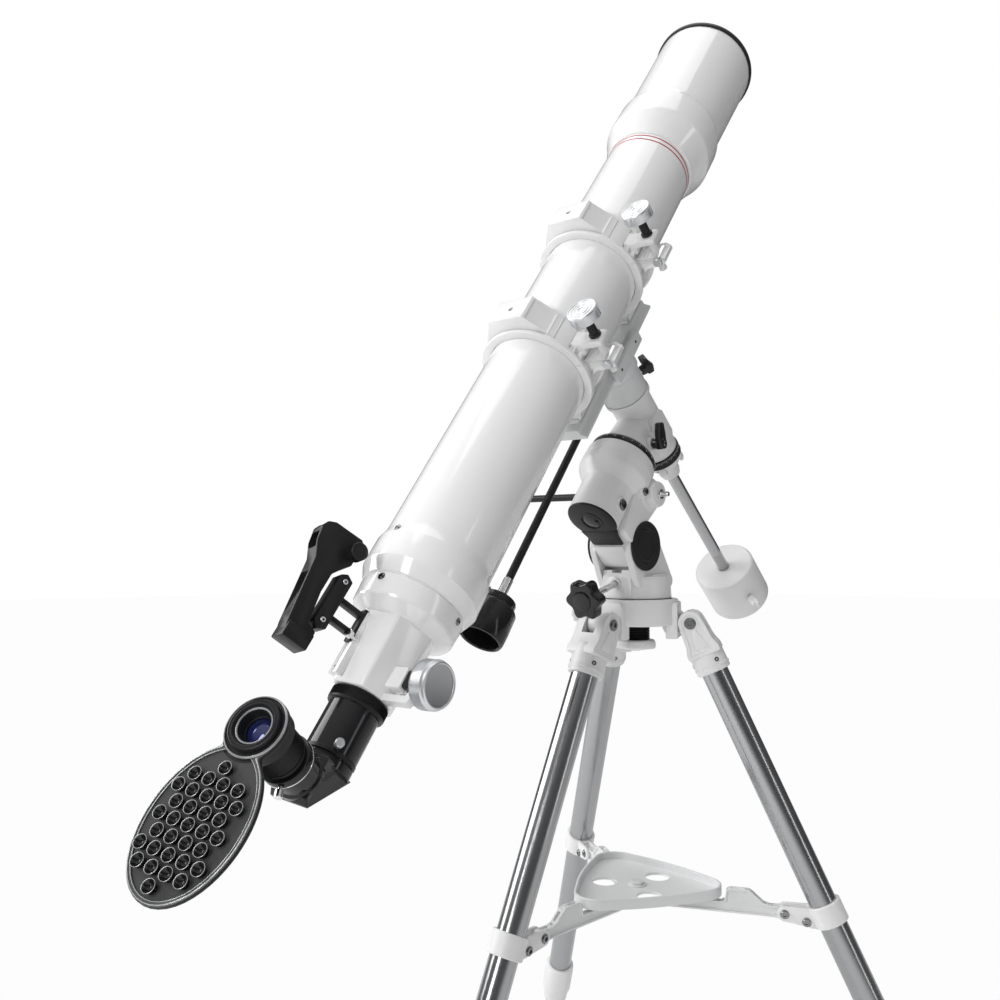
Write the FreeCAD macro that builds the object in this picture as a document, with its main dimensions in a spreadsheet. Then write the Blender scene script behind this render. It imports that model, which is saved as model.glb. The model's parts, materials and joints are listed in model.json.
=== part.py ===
import FreeCAD, Part
import math
import os
import Sketcher

# A refracting telescope on an equatorial mount and a folding steel tripod.  Millimetres, +Z up,
# +Y along the meridian, origin at the middle of the whole object's box, on the floor.

os.makedirs("parts", exist_ok=True)
doc = FreeCAD.newDocument("telescope_on_tripod")
sheet = doc.addObject("Spreadsheet::Sheet", "Size")
Vec = FreeCAD.Vector
Turn = FreeCAD.Rotation
Place = FreeCAD.Placement
X, Y, Z = Vec(1, 0, 0), Vec(0, 1, 0), Vec(0, 0, 1)

SIZES = {
    # shared
    "gap": 0.3,                 # clearance between curved faces on different bodies
    "fit_gap": 0.05,            # radial running clearance of a shaft
    # optical tube
    "tube_rad": 57.5, "tube_wall": 1.5, "tube_front": 300.0, "tube_rear": 393.0,
    "shield_rad": 72.5, "shield_wall": 2.0, "shield_front": 551.0, "shield_step": 372.0,
    "shield_back": 284.0, "flare_rad": 74.0, "lens_rad": 51.0, "lens_thick": 14.0,
    "cell_rad": 61.5, "cell_mid_rad": 57.0, "cell_end": 482.0, "cell_groove": 446.0,
    "focuser_rad": 37.0, "focuser_tip_rad": 30.5, "focuser_end": 555.0,
    "drawtube_rad": 25.0, "drawtube_wall": 2.0, "drawtube_grip": 95.0, "drawtube_end": 618.0,
    "grip_ring_rad": 28.5, "grip_ring_long": 12.0,
    "pinion_place": 534.0, "pinion_rad": 6.0, "wheel_rad": 22.5, "wheel_face": 84.0,
    "wheel_long": 20.0, "pinion_shaft_rad": 3.0,
    # star diagonal, eyepiece and telephone holder
    "diagonal_place": 645.0, "diagonal_half": 19.0, "nose_rad": 22.6, "holder_rad": 19.0,
    "holder_top": 58.0, "eyepiece_turn": 75.0, "barrel_rad": 15.6, "eyepiece_rad": 19.5,
    "eyepiece_top": 116.0, "eye_cup_rad": 25.0, "eye_hole_rad": 14.5,
    "plate_thick": 5.0, "plate_top": 110.0, "plate_long": 144.0, "plate_half": 46.0,
    "cup_rad": 4.6, "cup_high": 7.0, "cup_pitch": 15.5,
    # finder
    "finder_turn": 108.0, "finder_low": 66.0, "finder_high": 112.0, "finder_front": 438.0,
    "finder_back": 552.0, "finder_half": 11.0, "shoe_high": 38.0, "shoe_place": 500.0,
    "finder_knob_rad": 8.5,
    # cradle rings and dovetail bar
    "ring_rad": 63.5, "ring_bore_gap": 0.4, "ring_wide": 46.0, "ring_front": 52.0, "ring_rear": 128.0,
    "split": 8.0, "ear_reach": 98.0, "ear_thick": 9.0, "clamp_place": 84.0, "clamp_knob_rad": 17.5,
    "clamp_knob_long": 13.0, "clamp_knob_place": 50.0, "platform_high": 80.0, "platform_half": 21.0,
    "platform_wide": 30.0, "camera_hole_rad": 3.0,
    "bar_half": 22.0, "bar_thick": 14.0, "bar_front": 98.0, "bar_rear": 140.0, "bar_top": 127.0,
    # declination axis, measured from the crossing with the polar axis
    "dec_rad": 27.0, "dec_low": 69.0, "dec_flange": 50.0, "dec_flange_rad": 30.5,
    "saddle_rad": 30.0, "saddle_neck": 85.0, "saddle_top": 106.0, "saddle_half": 33.0,
    "dec_circle_rad": 29.0, "dec_circle_long": 14.0, "nose_long": 34.0, "nose_end_rad": 13.5,
    "dec_worm_rise": 63.0, "dec_worm_side": 30.0, "worm_case_rad": 10.5,
    "lever_rad": 3.5, "polar_lever_reach": 36.0, "polar_lever_drop": 18.0, "dec_lever_rise": 67.0,
    "shaft_rad": 8.1, "shaft_end": 398.0, "weight_rad": 44.7, "weight_near": 308.6, "weight_long": 76.2,
    "tube_rise": 197.6,
    # polar axis, measured from the height where it meets the azimuth axis
    "polar_rise": 212.1, "polar_tilt": 50.3, "cross_place": 26.6, "cap_skirt": 45.0, "polar_turn": 2.1, "tube_turn": 2.3,
    "polar_rad": 33.0, "polar_low": 146.0, "wheel_case_rad": 46.0, "wheel_case_low": 95.0,
    "polar_top": 48.0, "polar_circle_rad": 44.0, "polar_circle_long": 10.0, "polar_shaft_rad": 16.0,
    "polar_worm_place": 70.0, "polar_worm_drop": 40.0, "polar_worm_rad": 17.0, "polar_worm_half": 47.0,
    "worm_stub": 60.0, "worm_shaft_rad": 3.2, "rod_rad": 3.9, "polar_rod_end": 262.0,
    "dec_rod_end": 352.0, "control_knob_rad": 26.0, "control_knob_long": 50.0,
    # latitude fork
    "pivot_y": -25.0, "pivot_rise": 67.6, "lug_half": 22.0, "lug_rad": 29.0, "cheek_thick": 9.0,
    "cheek_rad": 33.0, "cap_rad": 31.4, "cap_thick": 4.0, "pivot_rad": 9.0,
    "base_rad": 46.5, "base_high": 29.0, "star_rad": 25.0, "star_long": 19.0, "screw_rad": 4.0,
    "tilt_screw_rise": 20.6, "tilt_screw_fall": 15.0,
    # tripod
    "head_rad": 55.5, "head_high": 33.5, "hinge_reach": 72.0, "hinge_drop": 30.0, "leg_turn": 25.2,
    "leg_splay": 24.7, "tongue_half": 9.0, "tongue_rad": 13.0, "ear_half": 22.5, "hinge_ear_rad": 15.5,
    "hinge_pin_rad": 4.0, "socket_rad": 21.5, "socket_top": 29.0, "socket_low": 67.0,
    "leg_rad": 17.0, "leg_wall": 1.2, "leg_low": 640.0, "band_rad": 20.5, "band_place": 383.0,
    "band_high": 26.0, "arm_reach": 47.4, "arm_rise": 17.0, "arm_hump": 23.0, "arm_thick": 10.0, "arm_high": 13.0, "arm_inner": 36.0,
    "clamp_rad": 22.0, "clamp_top": 630.0, "clamp_low": 700.0, "inner_leg_rad": 13.5,
    "inner_leg_top": 290.0, "inner_leg_low": 742.0, "foot_rad": 17.0, "foot_long": 34.0,
    "neck_rad": 9.0, "thread_rad": 18.0, "lock_knob_rad": 27.4, "lock_knob_long": 11.0,
    "lock_knob_drop": 54.0, "azimuth_turn": 205.0,
    "tray_drop": 370.0, "tray_reach": 106.0, "tray_corner": 30.0, "tray_floor": 3.0, "tray_rim": 13.0,
    "tray_hole_rad": 15.9, "tray_hole_reach": 42.0, "hub_rad": 9.0,
}


class Dim:
    """A size that carries its number and the sheet expression that gives it."""

    def __init__(self, number, text):
        self.number, self.text = number, text

    def __float__(self):
        return float(self.number)

    def __add__(self, other):
        return Dim(float(self) + float(other), "(%s + %s)" % (self.text, text_of(other)))

    def __radd__(self, other):
        return Dim(float(other) + float(self), "(%s + %s)" % (text_of(other), self.text))

    def __sub__(self, other):
        return Dim(float(self) - float(other), "(%s - %s)" % (self.text, text_of(other)))

    def __rsub__(self, other):
        return Dim(float(other) - float(self), "(%s - %s)" % (text_of(other), self.text))

    def __mul__(self, other):
        return Dim(float(self) * float(other), "(%s * %s)" % (self.text, text_of(other)))

    def __rmul__(self, other):
        return self.__mul__(other)

    def __truediv__(self, other):
        return Dim(float(self) / float(other), "(%s / %s)" % (self.text, text_of(other)))

    def __neg__(self):
        return Dim(-float(self), "(-1 * %s)" % self.text)


def text_of(value):
    return value.text if isinstance(value, Dim) else repr(float(value))


class Sizes:
    """The driving sizes, one named Dim for each row of the sheet."""


size = Sizes()
for row, (alias, number) in enumerate(SIZES.items(), 1):
    sheet.set("A%d" % row, alias)
    sheet.set("B%d" % row, repr(number))
    sheet.setAlias("B%d" % row, alias)
    setattr(size, alias, Dim(number, "Size." + alias))
doc.recompute()

counter = {"next": 0}
finished = {}


def fresh(word):
    counter["next"] += 1
    return "%s_%d" % (word, counter["next"])


def bind(obj, prop, value):
    """Give a property its number, and the sheet's expression where the value has one."""
    if isinstance(value, Dim):
        obj.setExpression(prop, value.text)
    elif prop.startswith("Placement"):
        axis = prop[-1]
        base = obj.Placement.Base
        setattr(base, axis, float(value))
        obj.Placement = Place(base, obj.Placement.Rotation)
    else:
        setattr(obj, prop, float(value))


def put(obj, at, turn=None):
    """Place a construction piece at a point whose coordinates may be sizes."""
    obj.Placement = Place(Vec(*[float(c) for c in at]), turn or Turn())
    for axis, value in zip("xyz", at):
        if isinstance(value, Dim):
            obj.setExpression("Placement.Base." + axis, value.text)
    return obj


AIM = {"z": Turn(), "x": Turn(Z, X), "y": Turn(Z, Y), "-x": Turn(Z, -X), "-y": Turn(Z, -Y),
       "-z": Turn(X, 180)}


def box(length, width, height, at, turn=None):
    obj = doc.addObject("Part::Box", fresh("block"))
    for prop, value in (("Length", length), ("Width", width), ("Height", height)):
        bind(obj, prop, value)
    return put(obj, at, turn)


def mid_box(length, width, height, at):
    """A block with the point at the middle of its length and width and at the foot of its height."""
    return box(length, width, height, (at[0] - length / 2, at[1] - width / 2, at[2]))


def rod(radius, length, at, aim="z"):
    obj = doc.addObject("Part::Cylinder", fresh("rod"))
    bind(obj, "Radius", radius)
    bind(obj, "Height", length)
    return put(obj, at, AIM[aim] if isinstance(aim, str) else aim)


def cone(first, last, length, at, aim="z"):
    obj = doc.addObject("Part::Cone", fresh("taper"))
    for prop, value in (("Radius1", first), ("Radius2", last), ("Height", length)):
        bind(obj, prop, value)
    return put(obj, at, AIM[aim] if isinstance(aim, str) else aim)


def fuse(*pieces):
    obj = doc.addObject("Part::MultiFuse", fresh("union"))
    obj.Shapes = list(pieces)
    obj.Refine = True
    return obj


def cut(base, *tools):
    obj = doc.addObject("Part::Cut", fresh("cut"))
    obj.Base = base
    obj.Tool = tools[0] if len(tools) == 1 else fuse(*tools)
    return obj


def common(first, second):
    obj = doc.addObject("Part::Common", fresh("overlap"))
    obj.Base, obj.Tool = first, second
    return obj


def group(*pieces):
    """Several separate solids that share one node."""
    obj = doc.addObject("Part::Compound", fresh("group"))
    obj.Links = list(pieces)
    return obj


def pin_point(sketch, item, end, at):
    """Tie one end or centre of a sketch item to its coordinates."""
    for kind, axis_line, value in (("DistanceX", -2, at[0]), ("DistanceY", -1, at[1])):
        number = float(value)
        if abs(number) < 1e-9:
            sketch.addConstraint(Sketcher.Constraint("PointOnObject", item, end, axis_line))
            continue
        near, far = ((-1, 1), (item, end)) if number > 0 else ((item, end), (-1, 1))
        index = sketch.addConstraint(Sketcher.Constraint(kind, *near, *far, abs(number)))
        if isinstance(value, Dim):
            sign = value if number > 0 else -value
            sketch.setExpression("Constraints[%d]" % index, sign.text)


def new_sketch(body, plane):
    origin = [feature for feature in body.Origin.OriginFeatures if feature.Role == plane + "_Plane"]
    sketch = body.newObject("Sketcher::SketchObject", fresh("outline"))
    sketch.AttachmentSupport = [(origin[0], "")]
    sketch.MapMode = "FlatFace"
    return sketch


def draw_polygon(sketch, points):
    first = sketch.GeometryCount
    numbers = [Vec(float(p[0]), float(p[1]), 0) for p in points]
    for here, there in zip(numbers, numbers[1:] + numbers[:1]):
        sketch.addGeometry(Part.LineSegment(here, there), False)
    for step in range(len(points)):
        following = first + (step + 1) % len(points)
        sketch.addConstraint(Sketcher.Constraint("Coincident", first + step, 2, following, 1))
    for step, point in enumerate(points):
        pin_point(sketch, first + step, 1, point)


def draw_circle(sketch, centre, radius):
    at = Vec(float(centre[0]), float(centre[1]), 0)
    item = sketch.addGeometry(Part.Circle(at, Z, float(radius)), False)
    index = sketch.addConstraint(Sketcher.Constraint("Radius", item, float(radius)))
    if isinstance(radius, Dim):
        sketch.setExpression("Constraints[%d]" % index, radius.text)
    if float(centre[0]) == 0 and float(centre[1]) == 0:
        sketch.addConstraint(Sketcher.Constraint("Coincident", item, 3, -1, 1))
    else:
        pin_point(sketch, item, 3, centre)


def draw_belt(sketch, circles):
    """The outline of a belt round several circles, given anticlockwise as (x, y, radius)."""
    spots = [(float(x), float(y), float(r)) for x, y, r in circles]
    count = len(spots)
    leave, arrive = [], []
    for step in range(count):
        x0, y0, r0 = spots[step]
        x1, y1, r1 = spots[(step + 1) % count]
        way = math.atan2(y1 - y0, x1 - x0) - math.acos((r0 - r1) / math.hypot(x1 - x0, y1 - y0))
        leave.append(way)
        arrive.append(way)
    for step in range(count):
        x0, y0, r0 = spots[step]
        start, end = arrive[step - 1], leave[step]
        while end < start:
            end += 2 * math.pi
        circle = Part.Circle(Vec(x0, y0, 0), Z, r0)
        sketch.addGeometry(Part.ArcOfCircle(circle, start, end), False)
    for step in range(count):
        way = leave[step]
        ends = [Vec(s[0] + s[2] * math.cos(way), s[1] + s[2] * math.sin(way), 0)
                for s in (spots[step], spots[(step + 1) % count])]
        sketch.addGeometry(Part.LineSegment(*ends), False)
    for step, (x, y, radius) in enumerate(circles):
        index = sketch.addConstraint(Sketcher.Constraint("Radius", step, float(radius)))
        if isinstance(radius, Dim):
            sketch.setExpression("Constraints[%d]" % index, radius.text)
        pin_point(sketch, step, 3, (x, y))
        sketch.addConstraint(Sketcher.Constraint("Tangent", step, 2, count + step, 1))
        sketch.addConstraint(Sketcher.Constraint("Tangent", count + step, 2, (step + 1) % count, 1))


def turned(outline):
    """A body of revolution about Z from (radius, height) corners."""
    body = doc.addObject("PartDesign::Body", fresh("turned"))
    sketch = new_sketch(body, "XZ")
    draw_polygon(sketch, outline)
    spin = body.newObject("PartDesign::Revolution", fresh("spin"))
    spin.Profile = sketch
    spin.ReferenceAxis = (sketch, ["V_Axis"])
    spin.Angle = 360
    return body


def padded(draw, plane, thickness, holes=(), one_side=False):
    """A plate about a plane through the origin, drawn by a function, with round holes through it."""
    body = doc.addObject("PartDesign::Body", fresh("plate"))
    sketch = new_sketch(body, plane)
    draw(sketch)
    for x, y, radius in holes:
        draw_circle(sketch, (x, y), radius)
    pad = body.newObject("PartDesign::Pad", fresh("pad"))
    pad.Profile = sketch
    pad.SideType = "One side" if one_side else "Symmetric"
    bind(pad, "Length", thickness)
    return body


def belt_plate(circles, plane, thickness, holes=(), one_side=False):
    return padded(lambda sketch: draw_belt(sketch, circles), plane, thickness, holes, one_side)


def flat_plate(points, plane, thickness, holes=(), one_side=False):
    return padded(lambda sketch: draw_polygon(sketch, points), plane, thickness, holes, one_side)


def tube(outer, inner, length, at, aim="z"):
    extra = 1.0
    way = (AIM[aim] if isinstance(aim, str) else aim).multVec(Z)
    start = [coordinate - step * extra for coordinate, step in zip(at, way)]
    return cut(rod(outer, length, at, aim), rod(inner, length + 2 * extra, start, aim))


def finish(label, obj, frame):
    """Name a finished sub-part and put it in its frame of the assembled object."""
    if any("Placement" in path for path, _ in obj.ExpressionEngine):
        obj = group(obj)
    obj.Label = label
    obj.Placement = frame
    finished[label] = obj


# ---------------------------------------------------------------- frames
def shifted(frame, x=0, y=0, z=0, turn=None):
    return frame * Place(Vec(float(x), float(y), float(z)), turn or Turn())


HEAD = Place()
POLAR = Place(Vec(0, 0, float(size.polar_rise)), Turn(X, float(size.polar_tilt) - 90))
SPINDLE = POLAR * Place(Vec(), Turn(Z, float(size.polar_turn)))
CROSS = shifted(SPINDLE, z=size.cross_place, turn=Turn(X, 90))
SADDLE = CROSS * Place(Vec(), Turn(Z, float(size.tube_turn)))
TUBE = shifted(SADDLE, z=size.tube_rise, turn=Turn(X, -90))
EYE = shifted(TUBE, z=-size.diagonal_place, turn=Turn(Z, -float(size.eyepiece_turn)) * Turn(Y, 90))
FINDER = TUBE * Place(Vec(), Turn(Z, -float(size.finder_turn)))
LEG_NAMES = {"front": -120.0, "right": 0.0, "back": 120.0}


def leg_way(name):
    """The compass way of a leg, in the head's frame."""
    return float(size.leg_turn) + LEG_NAMES[name]


def leg_frame(name):
    """Origin at the leg's hinge pin, -Z down along the leg, X outwards."""
    outward = Place(Vec(), Turn(Z, leg_way(name)))
    return shifted(outward, size.hinge_reach, 0, -size.hinge_drop, Turn(Y, -float(size.leg_splay)))


def upright_frame(name):
    return Place(Vec(), Turn(Z, leg_way(name)))


# ---------------------------------------------------------------- tripod
def tripod_head():
    disc = turned([(size.neck_rad + 1, -size.head_high), (size.head_rad - 2, -size.head_high),
                   (size.head_rad, -size.head_high + 2), (size.head_rad, -1.0),
                   (size.head_rad - 1, 0), (size.neck_rad + 1, 0)])
    pieces = [disc]
    holes = []
    low = size.hinge_drop + 20
    for turn in LEG_NAMES.values():
        spin = Turn(Z, float(size.leg_turn) + turn)
        shoulder = box(15, size.ear_half * 2 + 2, low - 4, (0, 0, 0))
        tongue = rod(size.tongue_rad, size.tongue_half * 2, (0, 0, 0), "y")
        neck = box(size.hinge_reach - size.head_rad + 8, size.tongue_half * 2, size.tongue_rad * 2, (0, 0, 0))
        bore = rod(size.hinge_pin_rad, size.ear_half * 2, (0, 0, 0), "y")
        spots = ((shoulder, (size.head_rad - 15, -size.ear_half - 1, -low)),
                 (tongue, (size.hinge_reach, -size.tongue_half, -size.hinge_drop)),
                 (neck, (size.head_rad - 8, -size.tongue_half, -size.hinge_drop - size.tongue_rad)),
                 (bore, (size.hinge_reach, -size.ear_half, -size.hinge_drop)))
        for piece, spot in spots:
            piece.Placement = Place(spin.multVec(Vec(*[float(c) for c in spot])), spin * piece.Placement.Rotation)
        pieces += [shoulder, tongue, neck]
        holes.append(bore)
    screw_way = Turn(Z, float(size.azimuth_turn))
    boss = rod(9, 12, (0, 0, 0), screw_way * AIM["x"])
    boss.Placement.Base = screw_way.multVec(Vec(float(size.head_rad) - 8, 0, -14))
    thread = rod(size.screw_rad + size.fit_gap, 60, (0, 0, 0), screw_way * AIM["x"])
    thread.Placement.Base = screw_way.multVec(Vec(float(size.head_rad) - 30, 0, -14))
    finish("tripod_head", cut(fuse(*pieces, boss), thread, *holes), HEAD)


def hinge_bolts():
    bolts = []
    for turn in LEG_NAMES.values():
        spin = Turn(Z, float(size.leg_turn) + turn)
        half = size.ear_half + 1
        bolt = fuse(rod(size.hinge_pin_rad, half * 2, (size.hinge_reach, -half, -size.hinge_drop), "y"),
                    rod(6, 3, (size.hinge_reach, half - 0.7, -size.hinge_drop), "y"),
                    rod(6, 3, (size.hinge_reach, -half - 2.3, -size.hinge_drop), "y"))
        bolt.Placement = Place(Vec(), spin)
        bolts.append(bolt)
    finish("hinge_bolts", group(*bolts), HEAD)


def leg(name):
    """One leg: steel tube, its white fittings, the sliding lower tube with its foot."""
    frame = leg_frame(name)
    long = size.leg_low - size.socket_top - 6
    finish("leg_tube_" + name, tube(size.leg_rad, size.leg_rad - size.leg_wall, long, (0, 0, -size.leg_low)), frame)

    ear_span = size.socket_top + 4
    ears = belt_plate([(0, 0, size.hinge_ear_rad), (0, -ear_span, size.hinge_ear_rad)], "XZ", size.ear_half * 2)
    room = size.tongue_half + size.gap + 0.7
    slot_deep = size.tongue_rad + 3.0
    slot = box(size.socket_rad * 4, room * 2, size.hinge_ear_rad + slot_deep + 1,
               (-size.socket_rad * 2, -room, -slot_deep))
    pin_hole = rod(size.hinge_pin_rad + size.fit_gap, size.ear_half * 4, (0, -size.ear_half * 2, 0), "y")
    collar = turned([(0, -size.socket_low), (size.socket_rad - 1, -size.socket_low),
                     (size.socket_rad, -size.socket_low + 1), (size.socket_rad, -size.socket_top - 1),
                     (size.socket_rad - 1, -size.socket_top), (0, -size.socket_top)])
    seat = rod(size.leg_rad, size.socket_low - size.socket_top, (0, 0, -size.socket_low - 6))
    top = cut(fuse(ears, collar), slot, pin_hole, seat)

    band_low = -(size.band_place + size.band_high / 2)
    reach = size.arm_reach
    ring = rod(size.band_rad, size.band_high, (0, 0, band_low))
    half_slot = size.arm_thick / 2 + size.gap
    cheek = belt_plate([(-reach, -size.band_place + size.arm_rise, 9), (-size.leg_rad, -size.band_place, 11)], "XZ",
                       size.arm_thick + 9)
    arm_room = box(reach - size.leg_rad - 7, half_slot * 2, size.band_high * 3,
                   (-reach - 15, -half_slot, band_low - size.band_high))
    arm_room.Placement.Base.x = -float(reach) - 15
    pivot = rod(2.6, size.arm_thick + 20, (-reach, -(size.arm_thick / 2 + 10), -size.band_place + size.arm_rise), "y")
    bore = rod(size.leg_rad, size.band_high * 3, (0, 0, band_low - size.band_high))
    band = cut(fuse(ring, cheek), arm_room, pivot, bore)

    clamp = cut(turned([(size.inner_leg_rad + size.gap, -size.clamp_low), (size.clamp_rad - 4, -size.clamp_low),
                        (size.clamp_rad - 2, -size.clamp_low + 16), (size.clamp_rad, -size.clamp_low + 22),
                        (size.clamp_rad, -size.clamp_top - 2), (size.clamp_rad - 2, -size.clamp_top),
                        (size.inner_leg_rad + size.gap, -size.clamp_top)]),
                rod(size.leg_rad, size.leg_low - size.clamp_top + 5, (0, 0, -size.leg_low)))
    finish("leg_fittings_" + name, group(top, band, clamp), frame)

    inner = cut(rod(size.inner_leg_rad, size.inner_leg_low - size.inner_leg_top, (0, 0, -size.inner_leg_low)),
                rod(size.inner_leg_rad - 1.2, size.inner_leg_low - size.inner_leg_top, (0, 0, -size.inner_leg_low + 2)))
    end = size.inner_leg_low - 4
    foot = turned([(0, -end - size.foot_long), (size.foot_rad - 7, -end - size.foot_long),
                   (size.foot_rad - 2, -end - size.foot_long + 3), (size.foot_rad, -end - size.foot_long + 9),
                   (size.foot_rad, -end - 6), (size.foot_rad - 1.5, -end + 1), (size.inner_leg_rad, -end + 1),
                   (size.inner_leg_rad, -end - 4), (0, -end - 4)])
    sole = -float(end + size.foot_long) + float(size.foot_rad) * math.tan(math.radians(float(size.leg_splay)))
    ground = box(80, 80, 40, (0, 0, 0))
    ground.Placement = Place(Vec(0, 0, sole), Turn(Y, float(size.leg_splay))) * Place(Vec(-40, -40, -40), Turn())
    finish("lower_leg_" + name, group(inner, cut(foot, ground)), frame)


def arm_pivot(name):
    """The spreader arm's pivot on the leg's band, in the head's frame."""
    return leg_frame(name).multVec(Vec(-float(size.arm_reach), 0, float(size.arm_rise - size.band_place)))


def spreader_arm(name):
    pivot = arm_pivot(name)
    reach = math.hypot(pivot.x, pivot.y)
    long = reach - float(size.arm_inner)
    low = -size.arm_high / 2
    top = size.arm_high / 2
    bar = flat_plate([(0, low), (0, top), (-26, top), (-40, size.arm_hump), (-68, size.arm_hump), (-71, top),
                      (-long, top), (-long, low)], "XZ", size.arm_thick)
    eye = rod(7.5, size.arm_thick, (0, -size.arm_thick / 2, 0), "y")
    trunnion = rod(2.55, size.arm_thick + 8.6, (0, -size.arm_thick / 2 - 4.3, 0), "y")
    frame = upright_frame(name) * Place(Vec(reach, 0, pivot.z), Turn())
    finish("spreader_arm_" + name, fuse(bar, eye, trunnion), frame)


def tray():
    floor = -size.tray_drop
    centre = size.tray_reach - size.tray_corner
    corners, inside = [], []
    for turn in LEG_NAMES.values():
        way = math.radians(float(size.leg_turn) + turn)
        spot = (centre * math.cos(way), centre * math.sin(way))
        corners.append((*spot, size.tray_corner))
        inside.append((*spot, size.tray_corner - 3.5))
    holes = []
    for turn in LEG_NAMES.values():
        way = math.radians(float(size.leg_turn) + turn + 60)
        holes.append((size.tray_hole_reach * math.cos(way), size.tray_hole_reach * math.sin(way), size.tray_hole_rad))
    holes.append((0, 0, size.hub_rad + size.gap))
    floor_plate = belt_plate(corners, "XY", size.tray_floor, holes, True)
    wall = belt_plate(corners, "XY", size.tray_rim, (), True)
    pocket = belt_plate(inside, "XY", size.tray_rim * 3, (), True)
    put(pocket, (0, 0, -size.tray_rim))
    finish("tray", fuse(floor_plate, cut(wall, pocket)), Place(Vec(0, 0, float(floor)), Turn()))


def tray_hub():
    hub = turned([(0, -1.5), (size.hub_rad + 7, -1.5), (size.hub_rad + 7, -size.gap), (size.hub_rad, -size.gap),
                  (size.hub_rad, size.tray_floor + 2), (size.hub_rad - 2, size.tray_floor + 5),
                  (0, size.tray_floor + 5)])
    finish("tray_hub", hub, Place(Vec(0, 0, -float(size.tray_drop)), Turn()))


def azimuth_lock():
    top = size.head_high + size.gap
    bolt = turned([(0, -size.lock_knob_drop - size.lock_knob_long - 3), (size.neck_rad, -size.lock_knob_drop - 14),
                   (size.neck_rad, size.base_high / 2), (0, size.base_high / 2)])
    finish("azimuth_bolt", bolt, HEAD)
    collar = turned([(size.neck_rad + size.fit_gap, -size.lock_knob_drop - size.lock_knob_long),
                     (size.lock_knob_rad - 3, -size.lock_knob_drop - size.lock_knob_long),
                     (size.lock_knob_rad, -size.lock_knob_drop - size.lock_knob_long + 2),
                     (size.lock_knob_rad, -size.lock_knob_drop - 2), (size.lock_knob_rad - 2, -size.lock_knob_drop),
                     (size.thread_rad, -size.lock_knob_drop), (size.thread_rad, -top),
                     (size.neck_rad + size.fit_gap, -top)])
    finish("azimuth_lock_knob", collar, HEAD)


def star(radius, long, shank_rad, shank_long, lobes=6):
    """A lobed hand knob on +Z with its shank running back along -Z."""
    core = rod(radius * 0.72, long, (0, 0, 0))
    pieces = [core]
    for turn in range(lobes):
        way = 2 * math.pi * turn / lobes
        spot = (radius * 0.74 * math.cos(way), radius * 0.74 * math.sin(way), 0)
        pieces.append(rod(radius * 0.26, long, spot))
    return fuse(*pieces, rod(shank_rad, shank_long + 2, (0, 0, -shank_long)))


def azimuth_screw():
    way = Turn(Z, float(size.azimuth_turn))
    spot = way.multVec(Vec(float(size.head_rad) + 12, 0, -14))
    screw = star(size.star_rad * 0.72, size.star_long * 0.8, size.screw_rad, 38)
    finish("azimuth_screw", screw, Place(spot, way * AIM["x"]))


# ---------------------------------------------------------------- latitude fork and polar housing
def tilt_screw_place():
    """The latitude screw: its axis leaves the fork's front wall, pointing forwards and down."""
    way = Turn(Z, -Y) * Turn(X, float(size.tilt_screw_fall))
    way = Turn(X, float(size.tilt_screw_fall)) * AIM["-y"]
    spot = Vec(0, -41.4, float(size.tilt_screw_rise))
    return Place(spot, way)


def mount_base():
    floor = turned([(size.neck_rad, size.gap), (size.base_rad, size.gap), (size.base_rad, 5),
                    (size.base_rad - 1.5, 9), (size.base_rad - 2, size.base_high - 4),
                    (size.base_rad - 4, size.base_high), (size.neck_rad, size.base_high)])
    outer = size.lug_half + size.gap + size.cheek_thick
    cheek_outline = [(size.pivot_y, size.pivot_rise, size.cheek_rad), (-size.base_rad + 14, size.base_high - 10, 8),
                     (size.base_rad - 14, size.base_high - 10, 8)]
    cheeks = belt_plate(cheek_outline, "YZ", outer * 2)
    room = size.lug_half + size.gap
    slot = box(room * 2, size.base_rad * 4, size.pivot_rise * 2, (-room, -size.base_rad * 2, size.base_high - 9))
    wall = common(box(room * 2 + 2, 12, size.base_high + 8, (-room - 1, -size.base_rad + 3, 1)),
                  rod(size.base_rad - 1, size.base_high + 12, (0, 0, 1)))
    swing = rod(size.lug_rad + 1.2, room * 3, (-room * 1.5, size.pivot_y, size.pivot_rise), "x")
    pivot = rod(size.pivot_rad, size.base_rad * 4, (-size.base_rad * 2, size.pivot_y, size.pivot_rise), "x")
    thread = rod(size.screw_rad + size.fit_gap, 60, (0, 0, 0))
    thread.Placement = tilt_screw_place() * Place(Vec(0, 0, -40), Turn())
    well = rod(size.neck_rad, size.base_high * 3, (0, 0, -size.base_high))
    base = cut(fuse(floor, cut(cheeks, slot), wall), swing, pivot, thread, well)
    finish("mount_base", base, HEAD)


def latitude_pivot():
    outer = size.lug_half + size.gap + size.cheek_thick
    pin = rod(size.pivot_rad - size.fit_gap, outer * 2, (-outer, size.pivot_y, size.pivot_rise), "x")
    caps = []
    for side, aim in ((1, "x"), (-1, "-x")):
        cap = turned([(0, 0), (size.cap_rad, 0), (size.cap_rad, size.cap_thick - 1.5),
                      (size.cap_rad - 1.5, size.cap_thick), (size.cap_rad * 0.68, size.cap_thick),
                      (size.cap_rad * 0.66, size.cap_thick - 1), (0, size.cap_thick - 1)])
        put(cap, (side * outer, size.pivot_y, size.pivot_rise), AIM[aim])
        caps.append(cap)
    finish("latitude_pivot", group(pin, *caps), HEAD)


def latitude_screw():
    screw = star(size.star_rad, size.star_long, size.screw_rad, 70)
    finish("latitude_screw", screw, tilt_screw_place() * Place(Vec(0, 0, 60), Turn()))


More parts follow.
